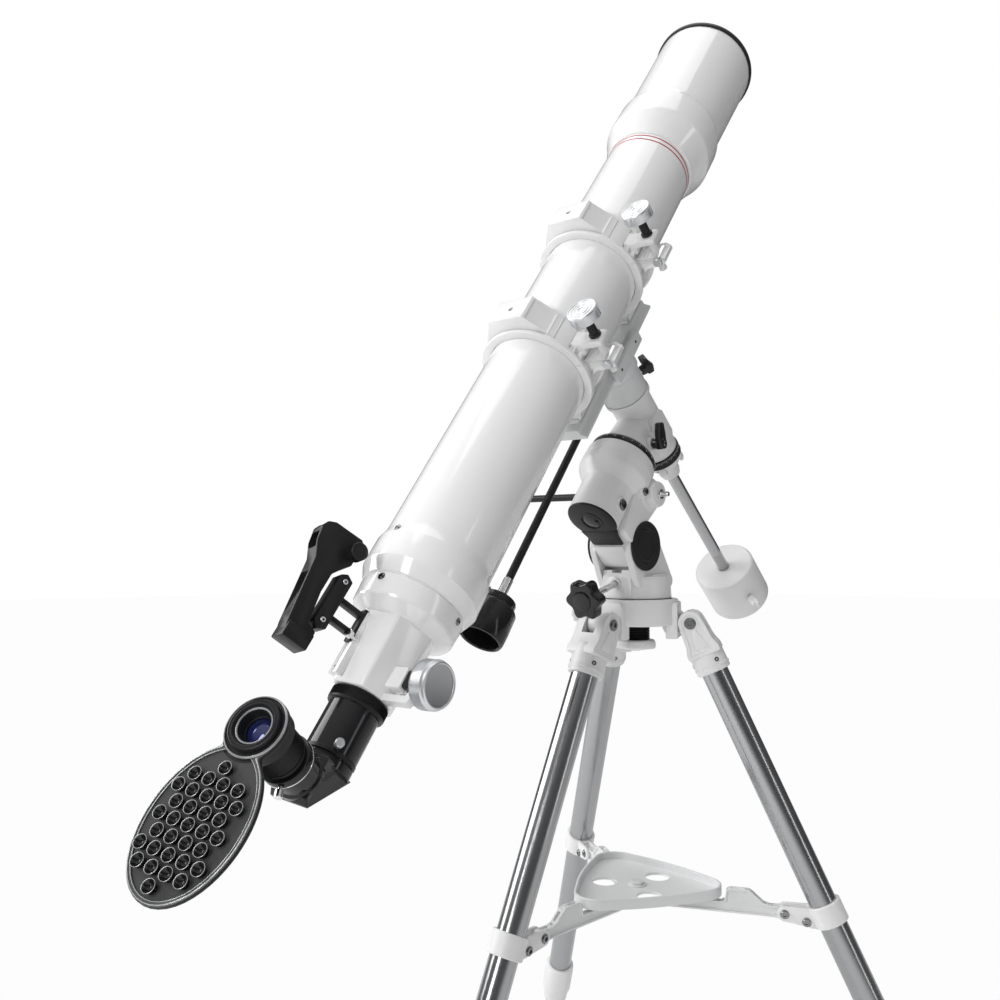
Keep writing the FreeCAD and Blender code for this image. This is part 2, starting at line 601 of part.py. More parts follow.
def polar_housing():
    """The polar housing with its wheel case, worm case and the lug that hangs in the fork."""
    barrel = turned([(size.polar_shaft_rad + size.fit_gap, -size.polar_low), (size.polar_rad - 1, -size.polar_low),
                     (size.polar_rad, -size.polar_low + 2), (size.polar_rad, -size.wheel_case_low),
                     (size.wheel_case_rad - 3, -size.wheel_case_low + 12), (size.wheel_case_rad, -size.wheel_case_low + 20),
                     (size.wheel_case_rad, -size.polar_top - 8), (size.wheel_case_rad - 1.2, -size.polar_top),
                     (size.polar_shaft_rad + size.fit_gap, -size.polar_top)])
    local = POLAR.inverse().multVec(Vec(0, float(size.pivot_y), float(size.pivot_rise)))
    drop, low = local.y, local.z
    lug = belt_plate([(drop, low, size.lug_rad), (10, -size.polar_low + 13, 12), (10, -size.wheel_case_low + 8, 12),
                      (size.polar_worm_drop, -size.polar_worm_place - 2, size.polar_worm_rad)][::-1],
                     "YZ", size.lug_half * 2)
    case = rod(size.polar_worm_rad, size.polar_worm_half * 2,
               (-size.polar_worm_half, size.polar_worm_drop, -size.polar_worm_place), "x")
    bore = rod(size.polar_shaft_rad + size.fit_gap, size.polar_low * 2, (0, 0, -size.polar_low * 1.5))
    worm_bore = rod(size.worm_shaft_rad + size.fit_gap, size.polar_worm_half * 4,
                    (-size.polar_worm_half * 2, size.polar_worm_drop, -size.polar_worm_place), "x")
    pivot = rod(size.pivot_rad, size.lug_half * 4, (-size.lug_half * 2, drop, low), "x")
    end = box(size.lug_half * 3, size.cap_skirt + size.polar_rad + 5, 40,
              (-size.lug_half * 1.5, -size.polar_rad - 5, -size.polar_low - 40))
    finish("polar_housing", cut(fuse(barrel, lug, case), end, bore, worm_bore, pivot), POLAR)


def polar_cap():
    face = size.polar_low
    disc = turned([(0, -face - 4), (size.polar_rad - 12, -face - 4), (size.polar_rad - 10, -face - 3),
                   (size.polar_rad - 1.5, -face - 3), (size.polar_rad - 0.5, -face - 1.5), (size.polar_rad - 0.5, -face),
                   (0, -face)])
    skirt = box(size.lug_half * 2, size.cap_skirt - 18.5, 3, (-size.lug_half, 18, -face - 3))
    finish("polar_cap", fuse(disc, skirt), POLAR)


def setting_circle(label, radius, long, bore, top, frame, lean):
    ring = turned([(bore, top - long), (radius + lean, top - long), (radius, top - 0.6), (radius - 0.6, top), (bore, top)])
    finish(label, ring, frame)


def polar_worm():
    stub = size.worm_stub
    shaft = rod(size.worm_shaft_rad, stub * 2 + 4, (-stub - 4, size.polar_worm_drop, -size.polar_worm_place), "x")
    finish("polar_worm_shaft", group(shaft), POLAR)


def control_rod(long, knob_end):
    """A slow-motion control: sleeve at the origin, rod along +Z and a cup knob on its end."""
    sleeve = rod(size.rod_rad + 2, 22, (0, 0, 0))
    stem = rod(size.rod_rad, long - 12, (0, 0, 10))
    knob = turned([(0, knob_end - 12), (size.control_knob_rad - 6, knob_end - 12), (size.control_knob_rad - 4, knob_end - 10),
                   (size.control_knob_rad - 4, knob_end), (size.control_knob_rad, knob_end + 6),
                   (size.control_knob_rad + 1, knob_end + size.control_knob_long - 8),
                   (size.control_knob_rad - 2, knob_end + size.control_knob_long),
                   (size.control_knob_rad - 6, knob_end + size.control_knob_long),
                   (size.control_knob_rad - 7, knob_end + 16), (0, knob_end + 16)])
    bore = rod(size.worm_shaft_rad, 18, (0, 0, -2))
    return cut(fuse(sleeve, stem, knob), bore)


def polar_control():
    place = shifted(POLAR, -size.worm_stub + 12, size.polar_worm_drop, -size.polar_worm_place, AIM["-x"])
    place = shifted(POLAR, -size.polar_worm_half - 1, size.polar_worm_drop, -size.polar_worm_place, AIM["-x"])
    long = size.polar_rod_end - size.polar_worm_half
    finish("polar_control", control_rod(long, long - 4), place)


# ---------------------------------------------------------------- parts that turn about the polar axis
def dec_housing():
    """The head on the polar shaft with the declination barrel across it."""
    neck = turned([(0, -size.polar_top + size.gap + size.polar_circle_long), (38, -size.polar_top + size.gap + size.polar_circle_long),
                   (38, -34), (31, -22), (size.dec_rad, -4), (size.dec_rad, size.cross_place), (0, size.cross_place)])
    shaft = rod(size.polar_shaft_rad, size.polar_low - 12, (0, 0, -size.polar_low + 4))
    low = -size.dec_low
    barrel = turned([(0, low - size.nose_long), (size.nose_end_rad - 1, low - size.nose_long),
                     (size.nose_end_rad, low - size.nose_long + 2), (size.nose_end_rad + 1.5, low - size.nose_long + 16),
                     (21, low - 12), (size.dec_rad - 0.5, low), (size.dec_rad - 4, low), (size.dec_rad - 4, low + size.dec_circle_long + 0.6),
                     (size.dec_rad, low + size.dec_circle_long + 0.6), (size.dec_rad, size.dec_flange - 10),
                     (size.dec_flange_rad, size.dec_flange - 6), (size.dec_flange_rad, size.dec_flange - size.gap),
                     (0, size.dec_flange - size.gap)])
    put(barrel, (0, 0, size.cross_place), Turn(X, 90))
    rib = box(10, 50, 34, (0, 0, 0))
    rib.Placement = Place(Vec(17, -20, float(size.cross_place) - 17), Turn())
    shaft_hole = rod(size.shaft_rad, size.nose_long + 20, (0, size.dec_low + size.nose_long + 1, size.cross_place), "-y")
    head_bore = rod(17 + size.fit_gap, 60, (0, -size.dec_flange + 20, size.cross_place), "-y")
    turning_room = rod(size.saddle_rad + 0.6, 60, (0, -size.dec_flange + 0.0, size.cross_place), "-y")
    boss = rod(8.5, size.polar_lever_reach - 10, (10, 0, -size.polar_lever_drop), "x")
    lever_hole = rod(size.lever_rad + size.fit_gap, 30, (size.polar_lever_reach - 10, 0, -size.polar_lever_drop), "x")
    outer = cut(fuse(neck, barrel, common(rib, rod(size.dec_rad + 3, 60, (0, 30, size.cross_place), "-y")), boss),
                turning_room)
    housing = cut(fuse(outer, shaft), shaft_hole, head_bore, lever_hole)
    finish("dec_housing", housing, SPINDLE)


def lever(label, frame):
    """A wing lever on its screw, standing on +Z."""
    wing = belt_plate([(0, 0, 7), (20, 0, 5)], "XY", 11, (), True)
    put(wing, (0, 0, 7))
    finish(label, fuse(rod(6, 11, (0, 0, size.gap)), rod(size.lever_rad, 9, (0, 0, -8.5)), wing), frame)


def lock_levers():
    outward = Turn(Y, 90) * Turn(Z, 90)
    lever("polar_lock_lever", SPINDLE * Place(Vec(float(size.polar_lever_reach), 0, -float(size.polar_lever_drop)), outward))
    turn = Turn(Z, 41)
    spot = turn.multVec(Vec(float(size.saddle_rad), 0, float(size.dec_lever_rise)))
    lever("dec_lock_lever", SADDLE * Place(spot, turn * outward))


def counterweight_shaft():
    start = size.dec_low + size.nose_long - 18
    shaft = rod(size.shaft_rad, size.shaft_end - start, (0, 0, -size.shaft_end))
    stop = turned([(0, -size.shaft_end - 6), (11, -size.shaft_end - 6), (12, -size.shaft_end - 4),
                   (12, -size.shaft_end), (0, -size.shaft_end)])
    finish("counterweight_shaft", fuse(shaft, stop), CROSS)


def counterweight():
    near, long, edge = size.weight_near, size.weight_long, 3.0
    hole = size.shaft_rad + size.gap
    body = turned([(hole, -near - long), (size.weight_rad - edge, -near - long), (size.weight_rad, -near - long + edge),
                   (size.weight_rad, -near - edge), (size.weight_rad - edge, -near), (hole, -near)])
    way = Turn(Z, -35)
    thread = rod(3.55, size.weight_rad * 1.2, (0, 0, 0), way * AIM["x"])
    thread.Placement.Base = way.multVec(Vec(float(size.shaft_rad) - 3, 0, -float(near) - float(long) / 2))
    finish("counterweight", cut(body, thread), CROSS)
    screw = fuse(rod(3.5, size.weight_rad - size.shaft_rad + 10, (0, 0, 0)),
                 rod(6.5, 14, (0, 0, size.weight_rad - size.shaft_rad + 6)),
                 box(3.4, 17, 18, (-1.7, -8.5, size.weight_rad - size.shaft_rad + 8)))
    spot = way.multVec(Vec(float(size.shaft_rad) + 0.35, 0, -float(near) - float(long) / 2))
    finish("counterweight_screw", screw, CROSS * Place(spot, way * AIM["x"]))


# ---------------------------------------------------------------- parts that turn about the declination axis
def dec_worm_axis(along):
    """A point on the declination worm's axis, in the saddle's frame, with +Z up the tube."""
    return shifted(SADDLE, -size.dec_worm_side, along, size.dec_worm_rise, Turn(X, -90))


def dec_worm():
    finish("dec_worm_shaft", group(rod(size.worm_shaft_rad, 92, (0, 0, 0))), dec_worm_axis(-58))


def dec_control():
    start = -45.5
    place = dec_worm_axis(start) * Place(Vec(), AIM["-z"])
    long = size.dec_rod_end + start
    finish("dec_control", control_rod(long, long - 4), place)


def dec_saddle():
    room = size.bar_half + 0.3
    top = size.tube_rise - size.bar_top + size.bar_thick + 22
    neck = turned([(0, size.dec_flange + size.gap), (size.saddle_rad - 1, size.dec_flange + size.gap),
                   (size.saddle_rad, size.dec_flange + 2), (size.saddle_rad, size.saddle_neck - 1),
                   (size.saddle_rad - 1, size.saddle_neck), (0, size.saddle_neck)])
    journal = rod(17, 28, (0, 0, size.dec_flange - 18))
    seat_low = size.saddle_neck - 2
    seat_high = size.saddle_top + 12
    seat = mid_box(size.saddle_half * 2, 84, seat_high - seat_low, (0, 0, seat_low))
    slot = box(room * 2, 120, 30, (-room, -60, size.saddle_top))
    case = rod(size.worm_case_rad, 72, (-size.dec_worm_side, -44, size.dec_worm_rise), "y")
    web = box(20, 30, 20, (-size.dec_worm_side, -14, size.dec_flange + 4))
    worm_bore = rod(size.worm_shaft_rad + size.fit_gap, 200, (-size.dec_worm_side, -100, size.dec_worm_rise), "y")
    lever_hole = rod(size.lever_rad + size.fit_gap, 20, (0, 0, 0), Turn(Z, 41) * AIM["x"])
    lever_hole.Placement.Base = Turn(Z, 41).multVec(Vec(float(size.saddle_rad) - 10, 0, float(size.dec_lever_rise)))
    finish("dec_saddle", cut(fuse(neck, journal, seat, case, web), slot, worm_bore, lever_hole), SADDLE)


def dovetail_bar():
    """The bar under the cradle rings: a flanged channel with a foot pad under each ring."""
    low = size.saddle_top + 0.2
    half = size.bar_half
    profile = [(-half, low), (half, low), (half, low + 5), (half - 5, low + 9), (half - 5, low + size.bar_thick),
               (-half + 5, low + size.bar_thick), (-half + 5, low + 9), (-half, low + 5)]
    long = size.bar_front + size.bar_rear
    bar = flat_plate(profile, "XZ", long)
    put(bar, (0, (size.bar_front - size.bar_rear) / 2, 0))
    finish("dovetail_bar", bar, SADDLE)


def ring_place(name):
    """Middle of a cradle ring along the tube."""
    middle = float(size.ring_wide) / 2
    return float(size.ring_front) + middle if name == "front" else -float(size.ring_rear) + middle


def cradle_ring(name):
    """Two half rings with a hinge, split ears, and a platform on the upper half."""
    frame = shifted(TUBE, z=ring_place(name))
    wide = size.ring_wide
    bore = size.tube_rad + size.ring_bore_gap
    full = turned([(size.ring_rad - 3, -wide / 2), (size.ring_rad + 1.5, -wide / 2), (size.ring_rad + 1.5, -wide / 2 + 6),
                   (size.ring_rad, -wide / 2 + 6.5), (size.ring_rad, wide / 2 - 6.5), (size.ring_rad + 1.5, wide / 2 - 6),
                   (size.ring_rad + 1.5, wide / 2), (bore, wide / 2), (bore, -wide / 2)])
    big = size.ring_rad * 4
    split = size.split
    below = box(big, big, big, (-big / 2, -split + 0.25, -big / 2))
    above = box(big, big, big, (-big / 2, -big - split - 0.25, -big / 2))
    hole = rod(bore, wide * 2, (0, 0, -wide))

    bolt_x = size.clamp_place
    foot_low = -(size.tube_rise - size.saddle_top - 0.2 - size.bar_thick)
    foot = box(34, -foot_low - size.ring_rad + 8, wide, (-17, size.ring_rad - 8, -wide / 2))
    low_ear = box(size.ear_reach - size.ring_rad + 6, size.ear_thick, wide * 0.62,
                  (size.ring_rad - 6, -split + 0.25, -wide * 0.31))
    low_hole = rod(4.2, size.ear_thick * 3, (bolt_x, -split - size.ear_thick, 0), "y")
    hinge_x = -size.ring_rad - 5.5
    hinge_low = fuse(rod(6, wide * 0.3, (hinge_x, -split, -wide * 0.15)),
                     box(9, 6, wide * 0.3, (hinge_x, -split, -wide * 0.15)))
    pin_hole = rod(2.05, wide * 2, (hinge_x, -split, -wide))
    knuckle_room = [rod(6.3, wide * 0.19, (hinge_x, -split, z)) for z in (wide * 0.155, -wide * 0.345)]
    lower = cut(fuse(common(full, below), foot, low_ear, hinge_low), hole, low_hole, pin_hole, *knuckle_room)
    pin = rod(2, wide * 0.72, (hinge_x, -split, -wide * 0.36))
    finish("ring_lower_" + name, group(lower, pin), frame)

    up_ear = box(size.ear_reach - size.ring_rad + 6, size.ear_thick, wide * 0.5,
                 (size.ring_rad - 6, -split - size.ear_thick - 3, -wide * 0.25))
    up_hole = rod(3.3, size.ear_thick * 5, (bolt_x, -split - size.ear_thick * 3, 0), "y")
    deck_high = size.platform_high
    deck = flat_plate([(-size.platform_half, -deck_high), (size.platform_half, -deck_high), (size.platform_half + 12, -52.0),
                       (-size.platform_half - 12, -52.0)], "XY", size.platform_wide)
    camera = rod(size.camera_hole_rad, 16, (0, -size.platform_high - 1, 0), "y")
    knuckles = [fuse(rod(6, wide * 0.18, (hinge_x, -split, z)), box(9, 6, wide * 0.18, (hinge_x, -split - 6, z)))
                for z in (wide * 0.16, -wide * 0.34)]
    upper = cut(fuse(common(full, above), up_ear, deck, *knuckles), hole, up_hole, camera, pin_hole)
    clear = rod(6.4, wide * 0.31, (hinge_x, -split, -wide * 0.155))
    finish("ring_upper_" + name, cut(upper, clear), frame)

    ear_top = split + size.ear_thick + 3
    shank = rod(3, size.clamp_knob_place + 4, (0, 0, 0))
    sleeve = rod(5, size.clamp_knob_place - ear_top - 5, (0, 0, ear_top + 4.5))
    washer = rod(7, 4, (0, 0, ear_top + 0.3))
    knob = turned([(0, size.clamp_knob_place), (size.clamp_knob_rad - 1, size.clamp_knob_place),
                   (size.clamp_knob_rad, size.clamp_knob_place + 1),
                   (size.clamp_knob_rad, size.clamp_knob_place + size.clamp_knob_long - 1),
                   (size.clamp_knob_rad - 1, size.clamp_knob_place + size.clamp_knob_long),
                   (0, size.clamp_knob_place + size.clamp_knob_long)])
    place = frame * Place(Vec(float(bolt_x), 0, 0), AIM["-y"])
    finish("ring_clamp_" + name, fuse(shank, sleeve, washer, knob), place)


# ---------------------------------------------------------------- optical tube
def main_tube():
    long = size.tube_front + size.tube_rear
    finish("main_tube", tube(size.tube_rad, size.tube_rad - size.tube_wall, long, (0, 0, -size.tube_rear)), TUBE)


def dew_shield():
    rad, wall = size.shield_rad, size.shield_wall
    seat = size.tube_rad
    outer = [(seat, size.shield_back), (seat + 3, size.shield_back), (seat + 4.5, size.shield_back + 4),
             (size.flare_rad - 3, size.shield_back + 22), (size.flare_rad, size.shield_back + 32),
             (size.flare_rad, size.shield_step - 14), (size.flare_rad - 4.5, size.shield_step),
             (rad - 4.5, size.shield_step), (rad - 1, size.shield_front - 8), (rad, size.shield_front - 8),
             (rad, size.shield_front)]
    inner = [(rad - wall - 2, size.shield_front), (rad - wall - 2, size.shield_front - 20), (rad - wall - 4.5, size.shield_step + 4),
             (size.flare_rad - 9, size.shield_step - 8), (size.flare_rad - 9, size.tube_front + 2),
             (seat, size.tube_front + 2)]
    finish("dew_shield", turned(outer + inner), TUBE)


def objective():
    front = size.tube_front + 2
    rim = size.flare_rad - 9 - 0.3
    shelf = front + 1.5
    top = shelf + size.lens_thick
    cell = turned([(size.lens_rad - 3, front), (rim, front), (rim, front + 12), (rim - 2, top + 2), (size.lens_rad - 2, top + 2),
                   (size.lens_rad - 2, top), (size.lens_rad + size.gap, top), (size.lens_rad + size.gap, shelf),
                   (size.lens_rad - 3, shelf)])
    finish("lens_cell", cell, TUBE)
    lens = turned([(0, shelf - 1.3), (size.lens_rad * 0.5, shelf - 0.9), (size.lens_rad - 5, shelf), (size.lens_rad, shelf),
                   (size.lens_rad, top), (size.lens_rad - 4, top), (size.lens_rad * 0.6, top + 2.2), (0, top + 3.4)])
    finish("objective_lens", lens, TUBE)


def rear_cell():
    """The two stepped bands that carry the focuser on the tube's end."""
    front = size.tube_rear
    bore = size.focuser_rad - 6
    outline = [(bore, -size.cell_end), (size.focuser_rad + 3, -size.cell_end), (size.cell_mid_rad - 5.5, -size.cell_end + 8),
               (size.cell_mid_rad - 1, -size.cell_end + 18), (size.cell_mid_rad - 1, -size.cell_groove - 1.5),
               (size.cell_mid_rad - 2.5, -size.cell_groove - 1), (size.cell_mid_rad - 2.5, -size.cell_groove + 1),
               (size.cell_rad - 4, -size.cell_groove + 1.5), (size.cell_rad, -size.cell_groove + 9),
               (size.cell_rad, -front - 22), (size.cell_rad - 1, -front - 8), (size.tube_rad + 0.8, -front + 2),
               (size.tube_rad, -front + 2), (size.tube_rad, -front), (size.tube_rad - 10, -front), (bore, -front - 20)]
    finish("rear_cell", turned(outline), TUBE)


def focuser_body():
    end = size.focuser_end
    start = size.cell_end
    bore = size.drawtube_rad + size.fit_gap
    shell = turned([(bore, -end), (size.focuser_tip_rad, -end), (size.focuser_tip_rad + 1.5, -end + 4),
                    (size.focuser_rad, -start), (size.focuser_rad - 6, -start), (size.focuser_rad - 6, -start + 30),
                    (bore, -start + 30)])
    saddle = box(size.wheel_face - size.wheel_long - size.drawtube_rad - 4, 17, 24,
                 (size.drawtube_rad, -8.5, -size.pinion_place - 12))
    shoe_turn = Turn(Z, -float(size.finder_turn))
    shoe = box(8, 15, 68, (0, 0, 0))
    shoe.Placement = Place(shoe_turn.multVec(Vec(float(size.shoe_high) - 8, -7.5, 0)) + Vec(0, 0, -float(end) + 4), shoe_turn)
    pinion_room = fuse(rod(size.pinion_shaft_rad + size.fit_gap, size.wheel_face * 2, (size.drawtube_rad - 12, 0, -size.pinion_place), "x"),
                       rod(size.pinion_rad + 1, 12, (size.drawtube_rad - 6, 0, -size.pinion_place), "x"))
    inside = rod(bore, size.focuser_end * 2, (0, 0, -size.focuser_end * 2))
    finish("focuser_body", cut(fuse(shell, saddle, shoe), pinion_room, inside), TUBE)


def focus_wheel():
    near = size.wheel_face - size.wheel_long
    shaft = rod(size.pinion_shaft_rad, near + 4 - size.drawtube_rad - 1, (size.drawtube_rad + 1, 0, 0), "x")
    pinion = rod(size.pinion_rad, 4.2, (size.drawtube_rad + 0.7, 0, 0), "x")
    hub = rod(9, 6, (near - 3.5, 0, 0), "x")
    wheel = turned([(0, 0), (size.wheel_rad - 2, 0), (size.wheel_rad, 2), (size.wheel_rad, size.wheel_long - 3),
                    (size.wheel_rad - 1.5, size.wheel_long - 1), (size.wheel_rad - 3, size.wheel_long),
                    (size.wheel_rad - 4, size.wheel_long - 1.2), (0, size.wheel_long - 1.2)])
    put(wheel, (near, 0, 0), AIM["x"])
    finish("focus_wheel", fuse(shaft, pinion, hub, wheel), shifted(TUBE, z=-size.pinion_place))


def drawtube():
    top = size.focuser_end - size.drawtube_grip
    wall = size.drawtube_rad - size.drawtube_wall
    barrel = tube(size.drawtube_rad, wall, size.drawtube_end - top, (0, 0, -size.drawtube_end))
    keyway = box(4, 8, size.drawtube_end - top + 10, (size.drawtube_rad - 0.6, -4, -size.drawtube_end - 5))
    finish("drawtube", cut(barrel, keyway), TUBE)
    ring = tube(size.grip_ring_rad, size.drawtube_rad, size.grip_ring_long,
                (0, 0, -size.focuser_end - 0.3 - size.grip_ring_long))
    finish("drawtube_ring", ring, TUBE)


# ---------------------------------------------------------------- diagonal, eyepiece, telephone holder
def star_diagonal():
    """Prism box with a nose in the drawtube and a holder for the eyepiece."""
    half = size.diagonal_half
    outline = [(-half, -half + 2), (half, half), (half, half + 4), (half - 4, half + 8), (-half, half + 8)]
    shell = flat_plate(outline, "XZ", half * 2)
    nose_long = size.diagonal_place - size.drawtube_end + 20 - half + 6
    nose = rod(size.drawtube_rad - size.drawtube_wall - size.fit_gap, nose_long, (-half + 6, 0, 0), "-x")
    collar = rod(size.drawtube_rad - 1, size.diagonal_place - size.drawtube_end - half + 5.7, (-half + 6, 0, 0), "-x")
    holder = turned([(0, half), (size.holder_rad, half), (size.holder_rad, size.holder_top - 15),
                     (size.holder_rad + 2.5, size.holder_top - 13), (size.holder_rad + 2.5, size.holder_top - 1),
                     (size.holder_rad + 1.5, size.holder_top), (0, size.holder_top)])
    path_in = rod(14, size.diagonal_place, (0, 0, 0), "-x")
    path_out = rod(14, size.holder_top * 2, (0, 0, 0))
    seat = rod(size.barrel_rad + size.fit_gap, size.holder_top, (0, 0, size.holder_top - 26))
    finish("star_diagonal", cut(fuse(shell, nose, collar, holder), path_in, path_out, seat), EYE)


def eyepiece():
    top = size.eyepiece_top
    rad = size.eyepiece_rad
    body = turned([(size.barrel_rad - 1.5, size.holder_top - 25), (size.barrel_rad, size.holder_top - 25),
                   (size.barrel_rad, size.holder_top + 0.3), (rad - 1, size.holder_top + 0.3), (rad, size.holder_top + 2),
                   (rad, size.plate_top - 16), (size.eye_cup_rad - 3, size.plate_top - 13), (size.eye_cup_rad - 3, top - 2),
                   (size.eye_cup_rad - 5, top), (size.eye_hole_rad, top), (size.eye_hole_rad - 2, top - 12),
                   (size.barrel_rad - 4, top - 13), (size.barrel_rad - 4, size.holder_top)])
    lens = turned([(0, top - 20), (size.barrel_rad - 4, top - 19), (size.barrel_rad - 4, top - 15), (0, top - 13.5)])
    finish("eyepiece", group(body, lens), EYE)


def telephone_holder():
    """Oval plate with a rim, clamped round the eyepiece, and the sheet of suction cups on it."""
    low = size.plate_top - size.plate_thick
    ring_rad = size.eye_cup_rad + 1.5
    hole = size.eye_cup_rad - 3 + size.fit_gap
    oval = [(0, 0, ring_rad), (30, -size.plate_half + 33, 33 - 6), (84, -size.plate_half + 33, 33), (size.plate_long - 26, 0, 26),
            (84, size.plate_half - 33, 33), (30, size.plate_half - 33, 33 - 6)]
    plate = put(belt_plate(oval, "XY", size.plate_thick, [(0, 0, hole)], True), (0, 0, low))
    recess_cups = [(42, -size.plate_half + 31, 23), (84, -size.plate_half + 33, 29), (size.plate_long - 26, 0, 22),
                   (84, size.plate_half - 33, 29), (42, size.plate_half - 31, 23)]
    recess = put(belt_plate(recess_cups, "XY", size.plate_thick, (), True), (0, 0, low + 2))
    collar = tube(ring_rad, hole, size.eyepiece_top - low - 3, (0, 0, low))
    finish("phone_plate", fuse(cut(plate, recess), collar), EYE)

    pad_floor = [(x, y, r - 0.1) for x, y, r in recess_cups]
    pad = put(belt_plate(pad_floor, "XY", 1.2, (), True), (0, 0, low + 2))
    cups = []
    for x, y in cup_places():
        cups.append(cone(size.cup_rad * 0.6, size.cup_rad, size.cup_high - 1, (x, y, low + 3)))
    keep_off = rod(ring_rad + 0.3, 60, (0, 0, low - 10))
    finish("suction_cups", cut(fuse(pad, *cups), keep_off), EYE)


def cup_places():
    """Staggered rows of suction cups inside the oval."""
    pitch = float(size.cup_pitch)
    half = float(size.plate_half) - 10
    middle, stretch = 86.0, 1.27
    places = []
    for row in range(-5, 6):
        for column in range(-3, 4):
            x = middle + row * pitch * 0.76
            y = (column + 0.5 * (row % 2)) * pitch
            if math.hypot((x - middle) / stretch, y) < half - 0.5:
                places.append((x, y))
    return places


# ---------------------------------------------------------------- finder
def finder():
    """Red-dot finder: a foot in the focuser's shoe, a bracket, the sight and its knob."""
    foot = box(size.finder_low - size.shoe_high - 3, 12, 22, (size.shoe_high, -6, -size.shoe_place - 11))
    rail_front, rail_back = size.finder_front + 34, size.finder_back - 20
    rail = box(9, size.finder_half * 2 - 2, rail_back - rail_front, (size.finder_low - 8, -size.finder_half + 1, -rail_back))
    finish("finder_bracket", fuse(foot, rail), FINDER)
    low, high, half = size.finder_low + 1, size.finder_high, size.finder_half
    front, back = size.finder_front, size.finder_back
    side = flat_plate([(low + 4, -front - 22), (low + 26, -front - 4), (high, -front), (high + 4, -front - 20), (high - 6, -front - 40),
                       (high - 14, -back + 26), (high - 12, -back + 8), (high - 24, -back), (low + 2, -back + 4), (low, -back + 20),
                       (low, -front - 30)], "XZ", half * 2)
    window = box(26, half * 2 - 8, 30, (high - 20, -half + 4, -front - 24))
    trough = box(40, half * 2 - 8, 60, (high - 24, -half + 4, -back + 24))
    finish("finder_sight", cut(side, window, trough), FINDER)
    knob = fuse(rod(size.finder_knob_rad, 11, (0, 0, 2)), rod(3, 4, (0, 0, 0)))
    spot = Vec(float(low) + 14, float(half), -float(front) - 14)
    finish("finder_knob", knob, FINDER * Place(spot + Vec(0, 0.3, 0), AIM["y"]))


# ---------------------------------------------------------------- assembly
tripod_head()
hinge_bolts()
for leg_name in LEG_NAMES:
    leg(leg_name)
    spreader_arm(leg_name)
tray()
tray_hub()
azimuth_lock()
azimuth_screw()
mount_base()
latitude_pivot()
latitude_screw()
polar_housing()
polar_cap()
setting_circle("polar_circle", size.polar_circle_rad - 1.5, size.polar_circle_long - 0.6, size.polar_shaft_rad + 14 + size.gap,
               -size.polar_top + size.polar_circle_long, POLAR, 1.5)
polar_worm()
polar_control()
dec_housing()
lock_levers()
setting_circle("dec_circle", size.dec_circle_rad, size.dec_circle_long, size.dec_rad - 4 + size.gap,
               -size.dec_low + size.dec_circle_long + 0.3, CROSS, 0)
counterweight_shaft()
counterweight()
dec_worm()
dec_control()
dec_saddle()
dovetail_bar()
for ring_name in ("front", "rear"):
    cradle_ring(ring_name)
main_tube()
dew_shield()
objective()
rear_cell()
focuser_body()
focus_wheel()
drawtube()
star_diagonal()
eyepiece()
telephone_holder()
finder()

doc.recompute()
for obj in doc.Objects:
    if "Invalid" in obj.State or "Error" in obj.State:
        raise RuntimeError("%s (%s) failed: %s" % (obj.Label, obj.Name, obj.State))
whole = FreeCAD.BoundBox()
for label, obj in finished.items():
    if obj.Shape.isNull() or not obj.Shape.isValid():
        raise RuntimeError(label + " has no valid shape")
    whole.add(obj.Shape.optimalBoundingBox(True, False))
SHIFT = Vec(-whole.Center.x, -whole.Center.y, -whole.ZMin)
for label, obj in finished.items():
    obj.Placement = Place(SHIFT, Turn()) * obj.Placement
doc.recompute()
for label, obj in finished.items():
    obj.Shape.exportStep("parts/%s.step" % label)
print(len(finished), "nodes", whole.XLength, whole.YLength, whole.ZLength)
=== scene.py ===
import json
import math

import bpy
from mathutils import Matrix, Vector


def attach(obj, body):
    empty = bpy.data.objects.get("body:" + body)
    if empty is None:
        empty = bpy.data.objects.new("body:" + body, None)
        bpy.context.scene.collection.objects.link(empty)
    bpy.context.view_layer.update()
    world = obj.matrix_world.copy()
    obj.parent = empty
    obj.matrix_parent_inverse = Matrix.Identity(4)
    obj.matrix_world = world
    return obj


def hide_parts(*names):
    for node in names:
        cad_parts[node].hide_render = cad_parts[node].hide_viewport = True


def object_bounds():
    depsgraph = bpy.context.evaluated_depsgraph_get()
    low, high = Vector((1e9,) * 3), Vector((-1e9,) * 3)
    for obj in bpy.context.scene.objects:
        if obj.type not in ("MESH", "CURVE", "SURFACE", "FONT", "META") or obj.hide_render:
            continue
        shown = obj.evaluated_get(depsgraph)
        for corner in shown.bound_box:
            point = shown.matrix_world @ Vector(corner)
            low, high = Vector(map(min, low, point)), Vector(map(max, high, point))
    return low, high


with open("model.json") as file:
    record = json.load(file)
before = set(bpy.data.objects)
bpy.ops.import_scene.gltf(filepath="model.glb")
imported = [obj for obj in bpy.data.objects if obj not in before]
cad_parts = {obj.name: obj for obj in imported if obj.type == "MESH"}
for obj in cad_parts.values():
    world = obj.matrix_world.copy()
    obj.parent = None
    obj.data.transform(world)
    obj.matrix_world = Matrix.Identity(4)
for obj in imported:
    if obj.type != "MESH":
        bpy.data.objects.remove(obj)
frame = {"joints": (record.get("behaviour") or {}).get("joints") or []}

bl_info = {
    "name": "Telescope on Tripod",
    "version": (1, 0, 0),
    "blender": (4, 5, 0),
    "location": "3D View > Sidebar > Telescope",
    "description": "Builds the looks of a refracting telescope on an equatorial mount and folding tripod",
    "category": "Add Mesh",
}

